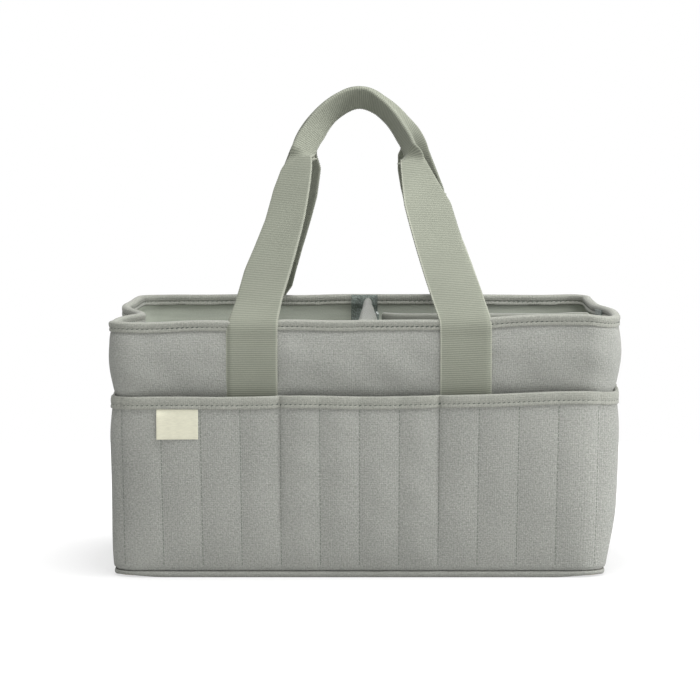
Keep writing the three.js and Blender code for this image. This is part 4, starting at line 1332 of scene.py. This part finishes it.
class Strap:
    """One handle: webbing from a pocket mouth up over the rim, round the grip and down again."""

    FOOT_LOW = 7 * MM  # how far the strap goes down behind the pocket mouth
    LEAST = 17 * MM  # width that shows where the webbing is folded in half
    GRIP_FROM = 152 * MM  # height up the loop from which the webbing stays folded
    BEND = 2.5 * MM  # webbing that goes into the fold itself
    GAP = 0.35 * MM  # from the wall's cloth to the webbing
    OVER_RIM = 1.95 * MM  # the same where the rim binding lies between them

    def __init__(self, sizes, plan):
        self.sizes, self.plan = sizes, plan
        self.crown_up = sizes.length - sizes.grip_width / 2
        self.grip_end = np.array([sizes.grip_span / 2, self.crown_up - sizes.grip_rise])

    def leg_and_grip(self):
        """The right half's line in the loop's own plane: across, and up from the bending line."""
        sizes = self.sizes
        foot = np.array([sizes.foot, 1 * MM])
        bow = (foot + self.grip_end) / 2 - np.array([2 * sizes.bow, 0])
        shoulder = unit(self.grip_end - bow) * sizes.shoulder
        t = np.linspace(0, 1, 80)[:, None]
        leg = (1 - t) ** 2 * foot + 2 * t * (1 - t) * bow + t**2 * self.grip_end
        crown = np.array([0, self.crown_up])
        level = np.array([sizes.crown / 2, 0])
        controls = [self.grip_end, self.grip_end + shoulder, crown + level, crown]
        weights = [(1 - t) ** 3, 3 * t * (1 - t) ** 2, 3 * t**2 * (1 - t), t**3]
        grip = sum(weight * control for weight, control in zip(weights, controls))
        return np.concatenate([leg, grip[1:]])

    def half(self, side):
        """One half in rows from its foot to the crown: place, outward direction, and height up the loop."""
        sizes = self.sizes
        sin, cos = math.sin(sizes.lean), math.cos(sizes.lean)
        # The free loop, which leans from the hinge
        line = self.leg_and_grip()
        up = line[:, 1]
        depth = 0.4 * MM + sizes.webbing / 2
        back, rise = HINGE.y + up * sin + depth * cos, HINGE.z + up * cos - depth * sin
        free = np.stack([side * line[:, 0], back, rise], axis=-1)
        tangent = unit(np.gradient(line, axis=0))
        square = np.stack([tangent[:, 1] * side, -tangent[:, 0]], axis=-1)
        settle = np.clip(up / self.grip_end[1], 0, 1)[:, None]
        outward = unit(lerp(np.array([side, 0.0]), square, settle))
        free_out = np.stack([outward[:, 0], outward[:, 1] * sin, outward[:, 1] * cos], axis=-1)
        # The sewn leg, which climbs the wall and goes over the rim binding
        climb = spaced(MOUTH - self.FOOT_LOW, HINGE.z - 3 * MM, 1.5 * MM)
        over = lerp(self.GAP, self.OVER_RIM, smoothstep(climb, RIM_LOW - 4 * MM, RIM_LOW)) + sizes.webbing / 2
        front = -(self.plan.half_depth(climb) + over)
        wall = np.stack([np.full_like(climb, side * sizes.foot), front, climb], axis=-1)
        wall_out = np.tile([side, 0.0, 0.0], (len(climb), 1))
        points = np.concatenate([wall, free[1:]])
        across = np.concatenate([wall_out, free_out[1:]])
        height = np.concatenate([np.zeros(len(climb)), up[1:]])
        return np.concatenate([points, across, height[:, None]], axis=1)

    def line(self):
        """The strap from its left foot to its right foot, four rows to a rib, with its bends rounded."""
        rows = np.concatenate([self.half(-1), self.half(1)[-2::-1]])
        run = run_along(rows[:, :3])
        here = np.linspace(0, run[-1], round(run[-1] / self.sizes.rib) * 4 + 1)
        rows = at_places(run, rows, here)
        for _ in range(2):
            rows = even_out(rows, 9)
        return rows[:, :3], unit(rows[:, 3:6]), rows[:, 6], here < run[-1] / 2

    def lie(self, points, height, left, leg_sets, climb):
        """Row by row: the shift of the middle, the width that shows, the turn, and the fold of the rest."""
        sides = []
        for side in (-1, 1):
            rows = np.array(leg_sets[side]).T
            sides.append([np.interp(height / MM, rows[0], row) for row in rows[1:]])
        outer, inner, turn = (even_out(np.where(left, *pair), 4) for pair in zip(*sides))
        turn = np.radians(turn)
        rising = abs(unit(np.gradient(points, axis=0))[:, 0]) * climb
        shown = (outer + inner) * MM / (np.cos(turn) + rising * np.sin(turn))
        wide = np.clip(shown, self.LEAST, self.sizes.webbing_width)
        fold = lerp(0.1, 0.97 * math.pi, smoothstep(self.sizes.webbing_width - wide, 0.3 * MM, 3 * MM))
        return (outer - inner) / 2 * MM, wide, turn, fold

    def section(self, wide, fold):
        """Middle line of the webbing's section: aside and behind, its slope, and the cloth's width there."""
        wide, fold = wide[:, None], fold[:, None]
        radius = self.BEND / fold
        strip = np.maximum(wide - np.minimum(radius, wide * 0.1), 6 * MM)
        flap = np.maximum(self.sizes.webbing_width - strip - self.BEND, 0.7 * MM)
        first = np.linspace(0, 1, 13) * strip
        turn = np.linspace(0, 1, 8)[1:] * fold
        last = np.linspace(0, 1, 9)[1:] * flap
        bend_aside = strip + radius * np.sin(turn)
        bend_behind = -radius * (1 - np.cos(turn))
        flap_aside = bend_aside[:, -1:] + last * np.cos(fold)
        flap_behind = bend_behind[:, -1:] - last * np.sin(fold)
        aside = np.concatenate([first, bend_aside, flap_aside], axis=1) - wide / 2
        behind = np.concatenate([0 * first, bend_behind, flap_behind], axis=1)
        slope = np.concatenate([0 * first, turn, 0 * last + fold], axis=1)
        cloth = np.concatenate([first, strip + turn * radius, strip + self.BEND + last], axis=1)
        return aside, behind, slope, cloth


def make_strap(name, mirror, leg_sets, climb):
    """The strap's mesh, its length and its grip's face. The back one is mirrored, and set in its own way."""
    plan = Plan()
    sizes = bpy.context.scene.caddy_handles
    strap = Strap(sizes, plan)
    points, across, height, left = strap.line()
    run = run_along(points)
    out = facing_front(np.cross(across, np.gradient(points, axis=0)))
    shift, wide, turn, fold = strap.lie(points, height, left, leg_sets, climb)
    aside, behind, slope, cloth = strap.section(wide, fold)
    points = points + shift[:, None] * across
    crest = 0.5 + 0.5 * np.cos(run * math.tau / sizes.rib)
    half_thick = sizes.webbing / 2 - sizes.rib_depth * (1 - crest)
    scallop = (crest - 0.5) * 0.5 * MM

    def turned_section(offset):
        """The face on one side of the section's middle line, turned about the strap's own line."""
        flat_aside = aside + np.sin(slope) * offset[:, None]
        flat_out = behind + np.cos(slope) * offset[:, None]
        sin, cos = np.sin(turn)[:, None], np.cos(turn)[:, None]
        to_side = flat_aside * cos - flat_out * sin
        to_front = flat_aside * sin + flat_out * cos
        to_side[:, 0] -= scallop
        return points[:, None] + to_side[..., None] * across[:, None] + to_front[..., None] * out[:, None]

    face, back = turned_section(half_thick), turned_section(-half_thick)
    selvedge = 0.35 * MM
    tip = (face[:, 0] + back[:, 0]) / 2 + unit(face[:, 0] - face[:, 1]) * selvedge
    end = (face[:, -1] + back[:, -1]) / 2 + unit(face[:, -1] - face[:, -2]) * selvedge
    rings = np.concatenate([face, end[:, None], back[:, ::-1], tip[:, None]], axis=1)
    girth = np.concatenate([cloth[0], [sizes.webbing_width], cloth[0][::-1], [0, 0]])
    piece = sew(name, plan.settle(rings * mirror), run, girth, finish("grosgrain_webbing"))
    return piece, run[-1], face[height > strap.GRIP_FROM]


def facing_front(normals):
    """Normals of length 1, turned so that they face the front."""
    return unit(normals) * np.where(normals[:, 1:2] < 0, 1, -1)


class CADDY_OT_handles(bpy.types.Operator):
    """Make the two webbing handles, bending over the rim, and the stitches that hold them"""

    bl_idname = "caddy.handles"
    bl_label = "Webbing handles"

    LEG_STITCH = 3 * MM  # pitch of the stitches across a sewn leg
    GRIP_STITCH = 3.2 * MM  # pitch of the stitches along a grip

    def execute(self, context):
        sizes = context.scene.caddy_handles
        for face, sy in FACES:
            mirror = np.array([1, -sy, 1])
            leg_sets = FRONT_SET if sy < 0 else BACK_SET
            # Seen from the front, a point that stands off the loop's plane seems to lie higher up it
            climb = math.tan(sizes.lean + sy * CAMERA_TILT)
            strap, length, grip = make_strap(f"{face}_strap", mirror, leg_sets, climb)
            nodes = [f"{face}_handle_loop", f"handle_leg_{face}_left", f"handle_leg_{face}_right"]
            wear(strap, None, "webbing", *nodes)
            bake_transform(strap)
            legs, grips = self.leg_rows(sizes, mirror), self.grip_row(grip, mirror)
            stitch_rows(f"{face}_leg_stitches", legs, self.LEG_STITCH, "caddy")
            stitch_rows(f"{face}_grip_stitches", grips, self.GRIP_STITCH, f"{face}_handle")
        return {"FINISHED"}

    def leg_rows(self, sizes, mirror):
        """A row of stitches across each sewn leg, under the rim binding."""
        plan = Plan()
        rows = []
        for side in (-1, 1):
            x = side * sizes.foot + np.linspace(-0.45, 0.45, 12) * sizes.webbing_width
            z = np.full_like(x, RIM_LOW - 2.5 * MM)
            y = -(plan.half_depth(z) + Strap.GAP + sizes.webbing + 0.35 * MM)
            normals = np.tile([0.0, -1.0, 0.0], (len(x), 1))
            rows.append((plan.settle(np.stack([x, y, z], axis=-1) * mirror), normals * mirror))
        return rows

    def grip_row(self, grip, mirror):
        """A row of stitches along the grip's edge, where the folded webbing is sewn together."""
        hem = lerp(grip[:, 1], grip[:, 2], 0.3)
        normals = facing_front(np.cross(np.gradient(hem, axis=0), grip[:, 3] - grip[:, 1]))
        return [(Plan().settle(hem * mirror), normals * mirror)]


# Dividers and tapes

def cloth_box(name, low, high, cuts, material):
    """A box of cloth between two corners, cut into even panels and rounded along its edges, by hand."""
    low, high = Vector(low), Vector(high)
    bpy.ops.object.select_all(action="DESELECT")
    bpy.ops.mesh.primitive_cube_add(size=1, location=(low + high) / 2)
    piece = bpy.context.object
    piece.name = name
    piece.scale = high - low
    bpy.ops.object.transform_apply(location=True, rotation=True, scale=True)
    thin = min(high - low)
    bpy.ops.object.mode_set(mode="EDIT")
    bpy.ops.mesh.select_mode(type="EDGE")
    bpy.ops.mesh.select_all(action="SELECT")
    bpy.ops.mesh.bevel(offset=thin * 0.3, segments=3, affect="EDGES")
    for axis, panels in enumerate(cuts):
        for i in range(1, panels):
            place = lerp(low[axis], high[axis], i / panels)
            normal = [0, 0, 0]
            normal[axis] = 1
            bpy.ops.mesh.select_all(action="SELECT")
            bpy.ops.mesh.bisect(plane_co=[place] * 3, plane_no=normal)
    bpy.ops.object.mode_set(mode="OBJECT")
    piece.data.materials.clear()
    piece.data.materials.append(material)
    return piece


def centre_pad_shape(points, low, high):
    """The centre divider's puffed form: thin at its ends, full in its middle, and pushed to the right."""
    share = np.clip((points[:, 1] - low.y) / (high.y - low.y), 0, 1)
    rise = np.clip((points[:, 2] - low.z) / (high.z - low.z), 0, 1)
    half, middle = (high.x - low.x) / 2, (high.x + low.x) / 2
    full = np.interp(share, [0, 0.12, 0.3, 0.45, 1], [0.9, 1.6, 1.95, 1.75, 0.5])
    across = points[:, 0] - middle
    beyond = np.sign(across) * np.maximum(abs(across) - half, 0) * 1.6
    sway = 0.8 * MM * ripple(points[:, 1], points[:, 2], 120 * MM, 52) * np.sin(math.pi * share)
    pushed = smoothstep(rise, 0, 0.6) * lerp(1.4 * MM, 2.8 * MM, share)
    points[:, 0] = middle + np.clip(across, -half, half) * full + beyond + sway + pushed
    points[:, 2] += 4.6 * MM * share * smoothstep(rise, 0.6, 1)
    points[:, 2] -= 1.5 * MM * smoothstep(share, 0.93, 1) * smoothstep(rise, 0.9, 1)


def cross_pad_shape(points, low, high, stretch):
    """The cross divider's form: its left end clears the centre divider, and its right end meets the wall."""
    share = np.clip((points[:, 0] - low.x) / (high.x - low.x), 0, 1)
    rise = np.clip((points[:, 2] - low.z) / (high.z - low.z), 0, 1)
    full = 1 + 0.25 * np.sin(math.pi * share) ** 0.8
    sway = 0.8 * MM * ripple(points[:, 0], points[:, 2], 120 * MM, 51) * np.sin(math.pi * share)
    points[:, 1] = points[:, 1] * full + sway
    points[:, 0] += 5.8 * MM * (1 - share) + stretch * share
    points[:, 2] += 2.6 * MM * smoothstep(rise, 0.6, 1)


def make_pad(name, long, cloth, form):
    """A divider's pad, whose length runs along X, 0, or along Y, 1. It is shaped by its form and blown up."""
    body = f"{name}_divider"
    low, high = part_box(f"{body}_cover")
    cuts = [1, 1, 20]
    cuts[long] = 26
    pad = cloth_box(f"{body}_pad", low, high, cuts, finish(cloth))
    points = points_of(pad)
    if name == "centre":
        # Its ends follow the slope of the walls
        half = (high.y - low.y) / 2
        taper = np.interp(points[:, 2], [low.z, MOUTH, high.z], [-5.9 * MM, -1.9 * MM, 0])
        near_end = smoothstep(abs(points[:, 1]), 0.7 * half, 0.98 * half)
        points[:, 1] += np.sign(points[:, 1]) * taper * near_end
    form(points)
    from_end = np.minimum(points[:, long] - low[long], high[long] - points[:, long])
    held = (from_end < 6 * MM) | (points[:, 2] < low.z + 4 * MM)
    faces = [list(face.vertices) for face in pad.data.polygons]
    points += inflate(points, faces, held, np.ones(len(points)), 0.9 * MM)
    move_points(pad, points)
    rounder = pad.modifiers.new("Soft", "SUBSURF")
    rounder.levels = rounder.render_levels = 1
    bpy.ops.object.modifier_apply(modifier="Soft")
    bpy.ops.object.shade_smooth_by_angle(angle=SMOOTH_UP_TO)
    wear(pad, body, "divider_felt", f"{body}_cover", f"{body}_core")


def make_strip(name, node, form):
    """A hook strip or loop tape of a divider, shaped as its pad is."""
    low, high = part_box(node)
    strip = cloth_box(f"{node}_strip", low, high, [1, 1, 16], finish("hook_and_loop"))
    points = points_of(strip)
    if "centre_divider_hook" in node:
        # It lies on the end of the pad and leans out with the wall
        reach = np.interp(points[:, 2], [low.z, MOUTH, high.z], [0, 2.4 * MM, 5.6 * MM])
        inner, outer = (low.y, high.y) if abs(low.y) < abs(high.y) else (high.y, low.y)
        near = abs(points[:, 1] - inner) < abs(points[:, 1] - outer)
        points[:, 1] = np.sign(inner) * (abs(inner) + reach + np.where(near, 0, 1.2 * MM))
    form(points)
    move_points(strip, points)
    wear(strip, f"{name}_divider", "tape", node)


class CADDY_OT_dividers(bpy.types.Operator):
    """Make the two padded dividers and their hook strips"""

    bl_idname = "caddy.dividers"
    bl_label = "Dividers"

    def execute(self, context):
        wall_tape = points_of(bpy.data.objects["wall_loop_tape_right"])
        hook_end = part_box("cross_divider_hook_right")[1].x
        stretch = wall_tape[:, 0].min() - hook_end - 0.4 * MM
        forms = {
            "centre": lambda points: centre_pad_shape(points, *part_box("centre_divider_cover")),
            "cross": lambda points: cross_pad_shape(points, *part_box("cross_divider_cover"), stretch),
        }
        make_pad("centre", 1, "brushed_cloth", forms["centre"])
        # The cross pad has the centre pad's cloth, painted paler as painted light on its shaded face
        make_pad("cross", 0, "brushed_cloth_painted_light", forms["cross"])
        strips = (
            ("centre", "hook_front"),
            ("centre", "hook_back"),
            ("cross", "hook_left"),
            ("cross", "hook_right"),
            ("centre", "tape"),
        )
        for name, strip in strips:
            make_strip(name, f"{name}_divider_{strip}", forms[name])
        return {"FINISHED"}


class CADDY_OT_tapes(bpy.types.Operator):
    """Make the loop tapes on the lining that hold the dividers"""

    bl_idname = "caddy.tapes"
    bl_label = "Wall tapes"

    def execute(self, context):
        plan = Plan()
        low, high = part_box("wall_tape_back")
        half, middle = (high.x - low.x) / 2, (high.x + low.x) / 2
        on_wall = spaced(low.z, RIM_LOW - 4 * MM, 6 * MM)
        # Each tape's middle along the wall, its top, and the lining under it
        below_top = RIM_TOP - 2.5 * MM
        places = (
            ("front", middle, below_top, ["lining_wrap_front"]),
            ("back", plan.length / 2 - middle, RIM_TOP, ["lining_wrap_back"]),
            ("right", plan.mid_side, below_top, ["lining_wrap_front", "lining_wrap_back"]),
        )
        for name, where, top, lining in places:
            levels = np.concatenate([on_wall, spaced(RIM_LOW - 1 * MM, top, 1.5 * MM)])
            over = lerp(0.5 * MM, 2.1 * MM, smoothstep(levels, RIM_LOW - 3 * MM, RIM_LOW + 1 * MM))
            over = over - 0.8 * MM * smoothstep(levels, RIM_TOP - 2 * MM, RIM_TOP)
            along = where + np.linspace(-half, half, 9)
            grid_along, grid_z = np.meshgrid(along, levels, indexing="ij")
            inset = plan.thickness(grid_z) + over
            front = plan.place(grid_along, grid_z, -inset - 1.2 * MM)
            back = plan.place(grid_along, grid_z, -inset)
            tape = sew_layers(f"wall_loop_tape_{name}", along, front, back, finish("hook_and_loop"))
            wear(tape, "caddy", "tape", f"wall_tape_{name}")
            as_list(lining)
        return {"FINISHED"}


# Stage

class CADDY_OT_stage(bpy.types.Operator):
    """Make the white floor, the soft lamps and the camera"""

    bl_idname = "caddy.stage"
    bl_label = "Stage"

    # Each lamp's name, its place and its width in metres, and its power in watts
    LAMPS = (
        ("key", (2.0, -0.3, 0.95), 1.0, 38.0),
        ("front_fill", (0.4, -3.2, 0.3), 1.3, 31.0),
        ("top", (0.2, -0.6, 2.6), 1.8, 70.0),
        ("back_fill", (-0.7, 3.0, 0.9), 1.3, 24.0),
    )
    AIM = Vector((0, 0, 0.14))  # where every lamp points

    def execute(self, context):
        self.make_floor()
        self.make_sky(context.scene)
        for lamp in self.LAMPS:
            self.make_lamp(context.scene, *lamp)
        self.make_camera(context.scene)
        context.scene.view_settings.view_transform = "Standard"
        return {"FINISHED"}

    def make_floor(self):
        """A round sheet of white paper."""
        bpy.ops.object.select_all(action="DESELECT")
        bpy.ops.mesh.primitive_circle_add(vertices=64, radius=0.9, fill_type="NGON")
        floor = bpy.context.object
        floor.name = "white_floor"
        bpy.ops.object.mode_set(mode="EDIT")
        bpy.ops.mesh.select_all(action="SELECT")
        bpy.ops.mesh.inset(thickness=0.4)
        bpy.ops.object.mode_set(mode="OBJECT")
        floor.data.materials.append(white_paper())

    def make_sky(self, scene):
        """A white surround that lights the caddy less than it shows."""
        scene.world = scene.world or bpy.data.worlds.new("World")
        scene.world.use_nodes = True
        tree = scene.world.node_tree
        tree.nodes.clear()
        seen = {"Value": see_through_rays(tree), "To Min": 0.36, "To Max": 1.0}
        strength = add_node(tree, "ShaderNodeMapRange", seen)
        white = {"Color": (1.0, 1.0, 1.0, 1.0), "Strength": strength.outputs[0]}
        sky = add_node(tree, "ShaderNodeBackground", white)
        add_node(tree, "ShaderNodeOutputWorld", {"Surface": sky.outputs[0]})

    def make_lamp(self, scene, name, place, width, power):
        """A soft square lamp."""
        light = bpy.data.lights.new(f"{name}_lamp", "AREA")
        light.shape = "SQUARE"
        light.size = width
        light.energy = power
        lamp = bpy.data.objects.new(f"{name}_lamp", light)
        scene.collection.objects.link(lamp)
        lamp.location = place
        lamp.rotation_euler = (self.AIM - Vector(place)).to_track_quat("-Z", "Y").to_euler()

    def make_camera(self, scene):
        """A long lens, far from the caddy and a little above it."""
        camera = bpy.data.objects.new("camera", bpy.data.cameras.new("camera"))
        scene.collection.objects.link(camera)
        camera.data.lens = 263.2
        camera.data.sensor_width = 36
        camera.data.clip_end = 100
        camera.location = (-0.0072, -3.9, 0.494)
        camera.rotation_euler = (math.pi / 2 - CAMERA_TILT, 0, 0)
        scene.camera = camera


def see_through_rays(tree):
    """1 for what the camera sees directly, in a gloss or through something clear."""
    path = add_node(tree, "ShaderNodeLightPath").outputs
    seen = path["Is Camera Ray"]
    for ray in ("Is Glossy Ray", "Is Transmission Ray"):
        seen = add_node(tree, "ShaderNodeMath", {0: seen, 1: path[ray]}, operation="MAXIMUM").outputs[0]
    return seen


def white_paper():
    """Matt white background paper, lit to white, with only a little of the shadow left on it."""
    material, tree = new_material("white_paper")
    fibre = add_node(tree, "ShaderNodeTexNoise", {"Scale": per_metre(8), "Detail": 3.0}).outputs["Fac"]
    tone = add_node(tree, "ShaderNodeMapRange", {"Value": fibre, "To Min": 0.54, "To Max": 0.56})
    paper = add_node(tree, "ShaderNodeBsdfDiffuse", {"Color": tone.outputs[0]})
    glow = add_node(tree, "ShaderNodeEmission", {"Color": (1.0, 1.0, 1.0, 1.0), "Strength": 1.26})
    # The shadow fades out between 0.2 m and 0.38 m from the middle, so that the paper has no edge
    place = add_node(tree, "ShaderNodeTexCoord").outputs["Object"]
    away = add_node(tree, "ShaderNodeVectorMath", {0: place}, operation="LENGTH").outputs["Value"]
    ring = {"Value": away, "From Min": 0.2, "From Max": 0.38, "To Min": 0.5, "To Max": 1.0}
    fade = add_node(tree, "ShaderNodeMapRange", ring)
    seen = {0: see_through_rays(tree), 1: fade.outputs[0]}
    share = add_node(tree, "ShaderNodeMath", seen, operation="MULTIPLY")
    layers = {0: share.outputs[0], 1: paper.outputs[0], 2: glow.outputs[0]}
    mixed = add_node(tree, "ShaderNodeMixShader", layers)
    add_node(tree, "ShaderNodeOutputMaterial", {"Surface": mixed.outputs[0]})
    return material


PIECE_OPERATORS = (
    CADDY_OT_walls,
    CADDY_OT_lining,
    CADDY_OT_base,
    CADDY_OT_rim,
    CADDY_OT_pockets,
    CADDY_OT_pocket_bindings,
    CADDY_OT_label,
    CADDY_OT_handles,
    CADDY_OT_tapes,
    CADDY_OT_dividers,
    CADDY_OT_stage,
)


class CADDY_PT_panel(bpy.types.Panel):
    """Lists the caddy's pieces and sizes"""

    bl_idname = "CADDY_PT_panel"
    bl_label = "Diaper caddy"
    bl_space_type = "VIEW_3D"
    bl_region_type = "UI"
    bl_category = "Caddy"

    def draw(self, context):
        for operator in PIECE_OPERATORS:
            self.layout.operator(operator.bl_idname)
        for group_name, group in PROPERTY_GROUPS.items():
            box = self.layout.box()
            for key in group.__annotations__:
                box.prop(getattr(context.scene, group_name), key)


def register():
    for name, group in PROPERTY_GROUPS.items():
        bpy.utils.register_class(group)
        setattr(bpy.types.Scene, name, PointerProperty(type=group))
    for operator in (*PIECE_OPERATORS, CADDY_PT_panel):
        bpy.utils.register_class(operator)


def unregister():
    for operator in (CADDY_PT_panel, *reversed(PIECE_OPERATORS)):
        bpy.utils.unregister_class(operator)
    for name, group in reversed(PROPERTY_GROUPS.items()):
        delattr(bpy.types.Scene, name)
        bpy.utils.unregister_class(group)


def main():
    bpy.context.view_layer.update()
    register()
    bpy.ops.caddy.stage()
    bpy.ops.caddy.walls()
    bpy.ops.caddy.lining()
    bpy.ops.caddy.base()
    bpy.ops.caddy.rim()
    bpy.ops.caddy.pockets()
    bpy.ops.caddy.pocket_bindings()
    bpy.ops.caddy.label()
    bpy.ops.caddy.handles()
    bpy.ops.caddy.tapes()
    bpy.ops.caddy.dividers()


if __name__ == "__main__":
    main()
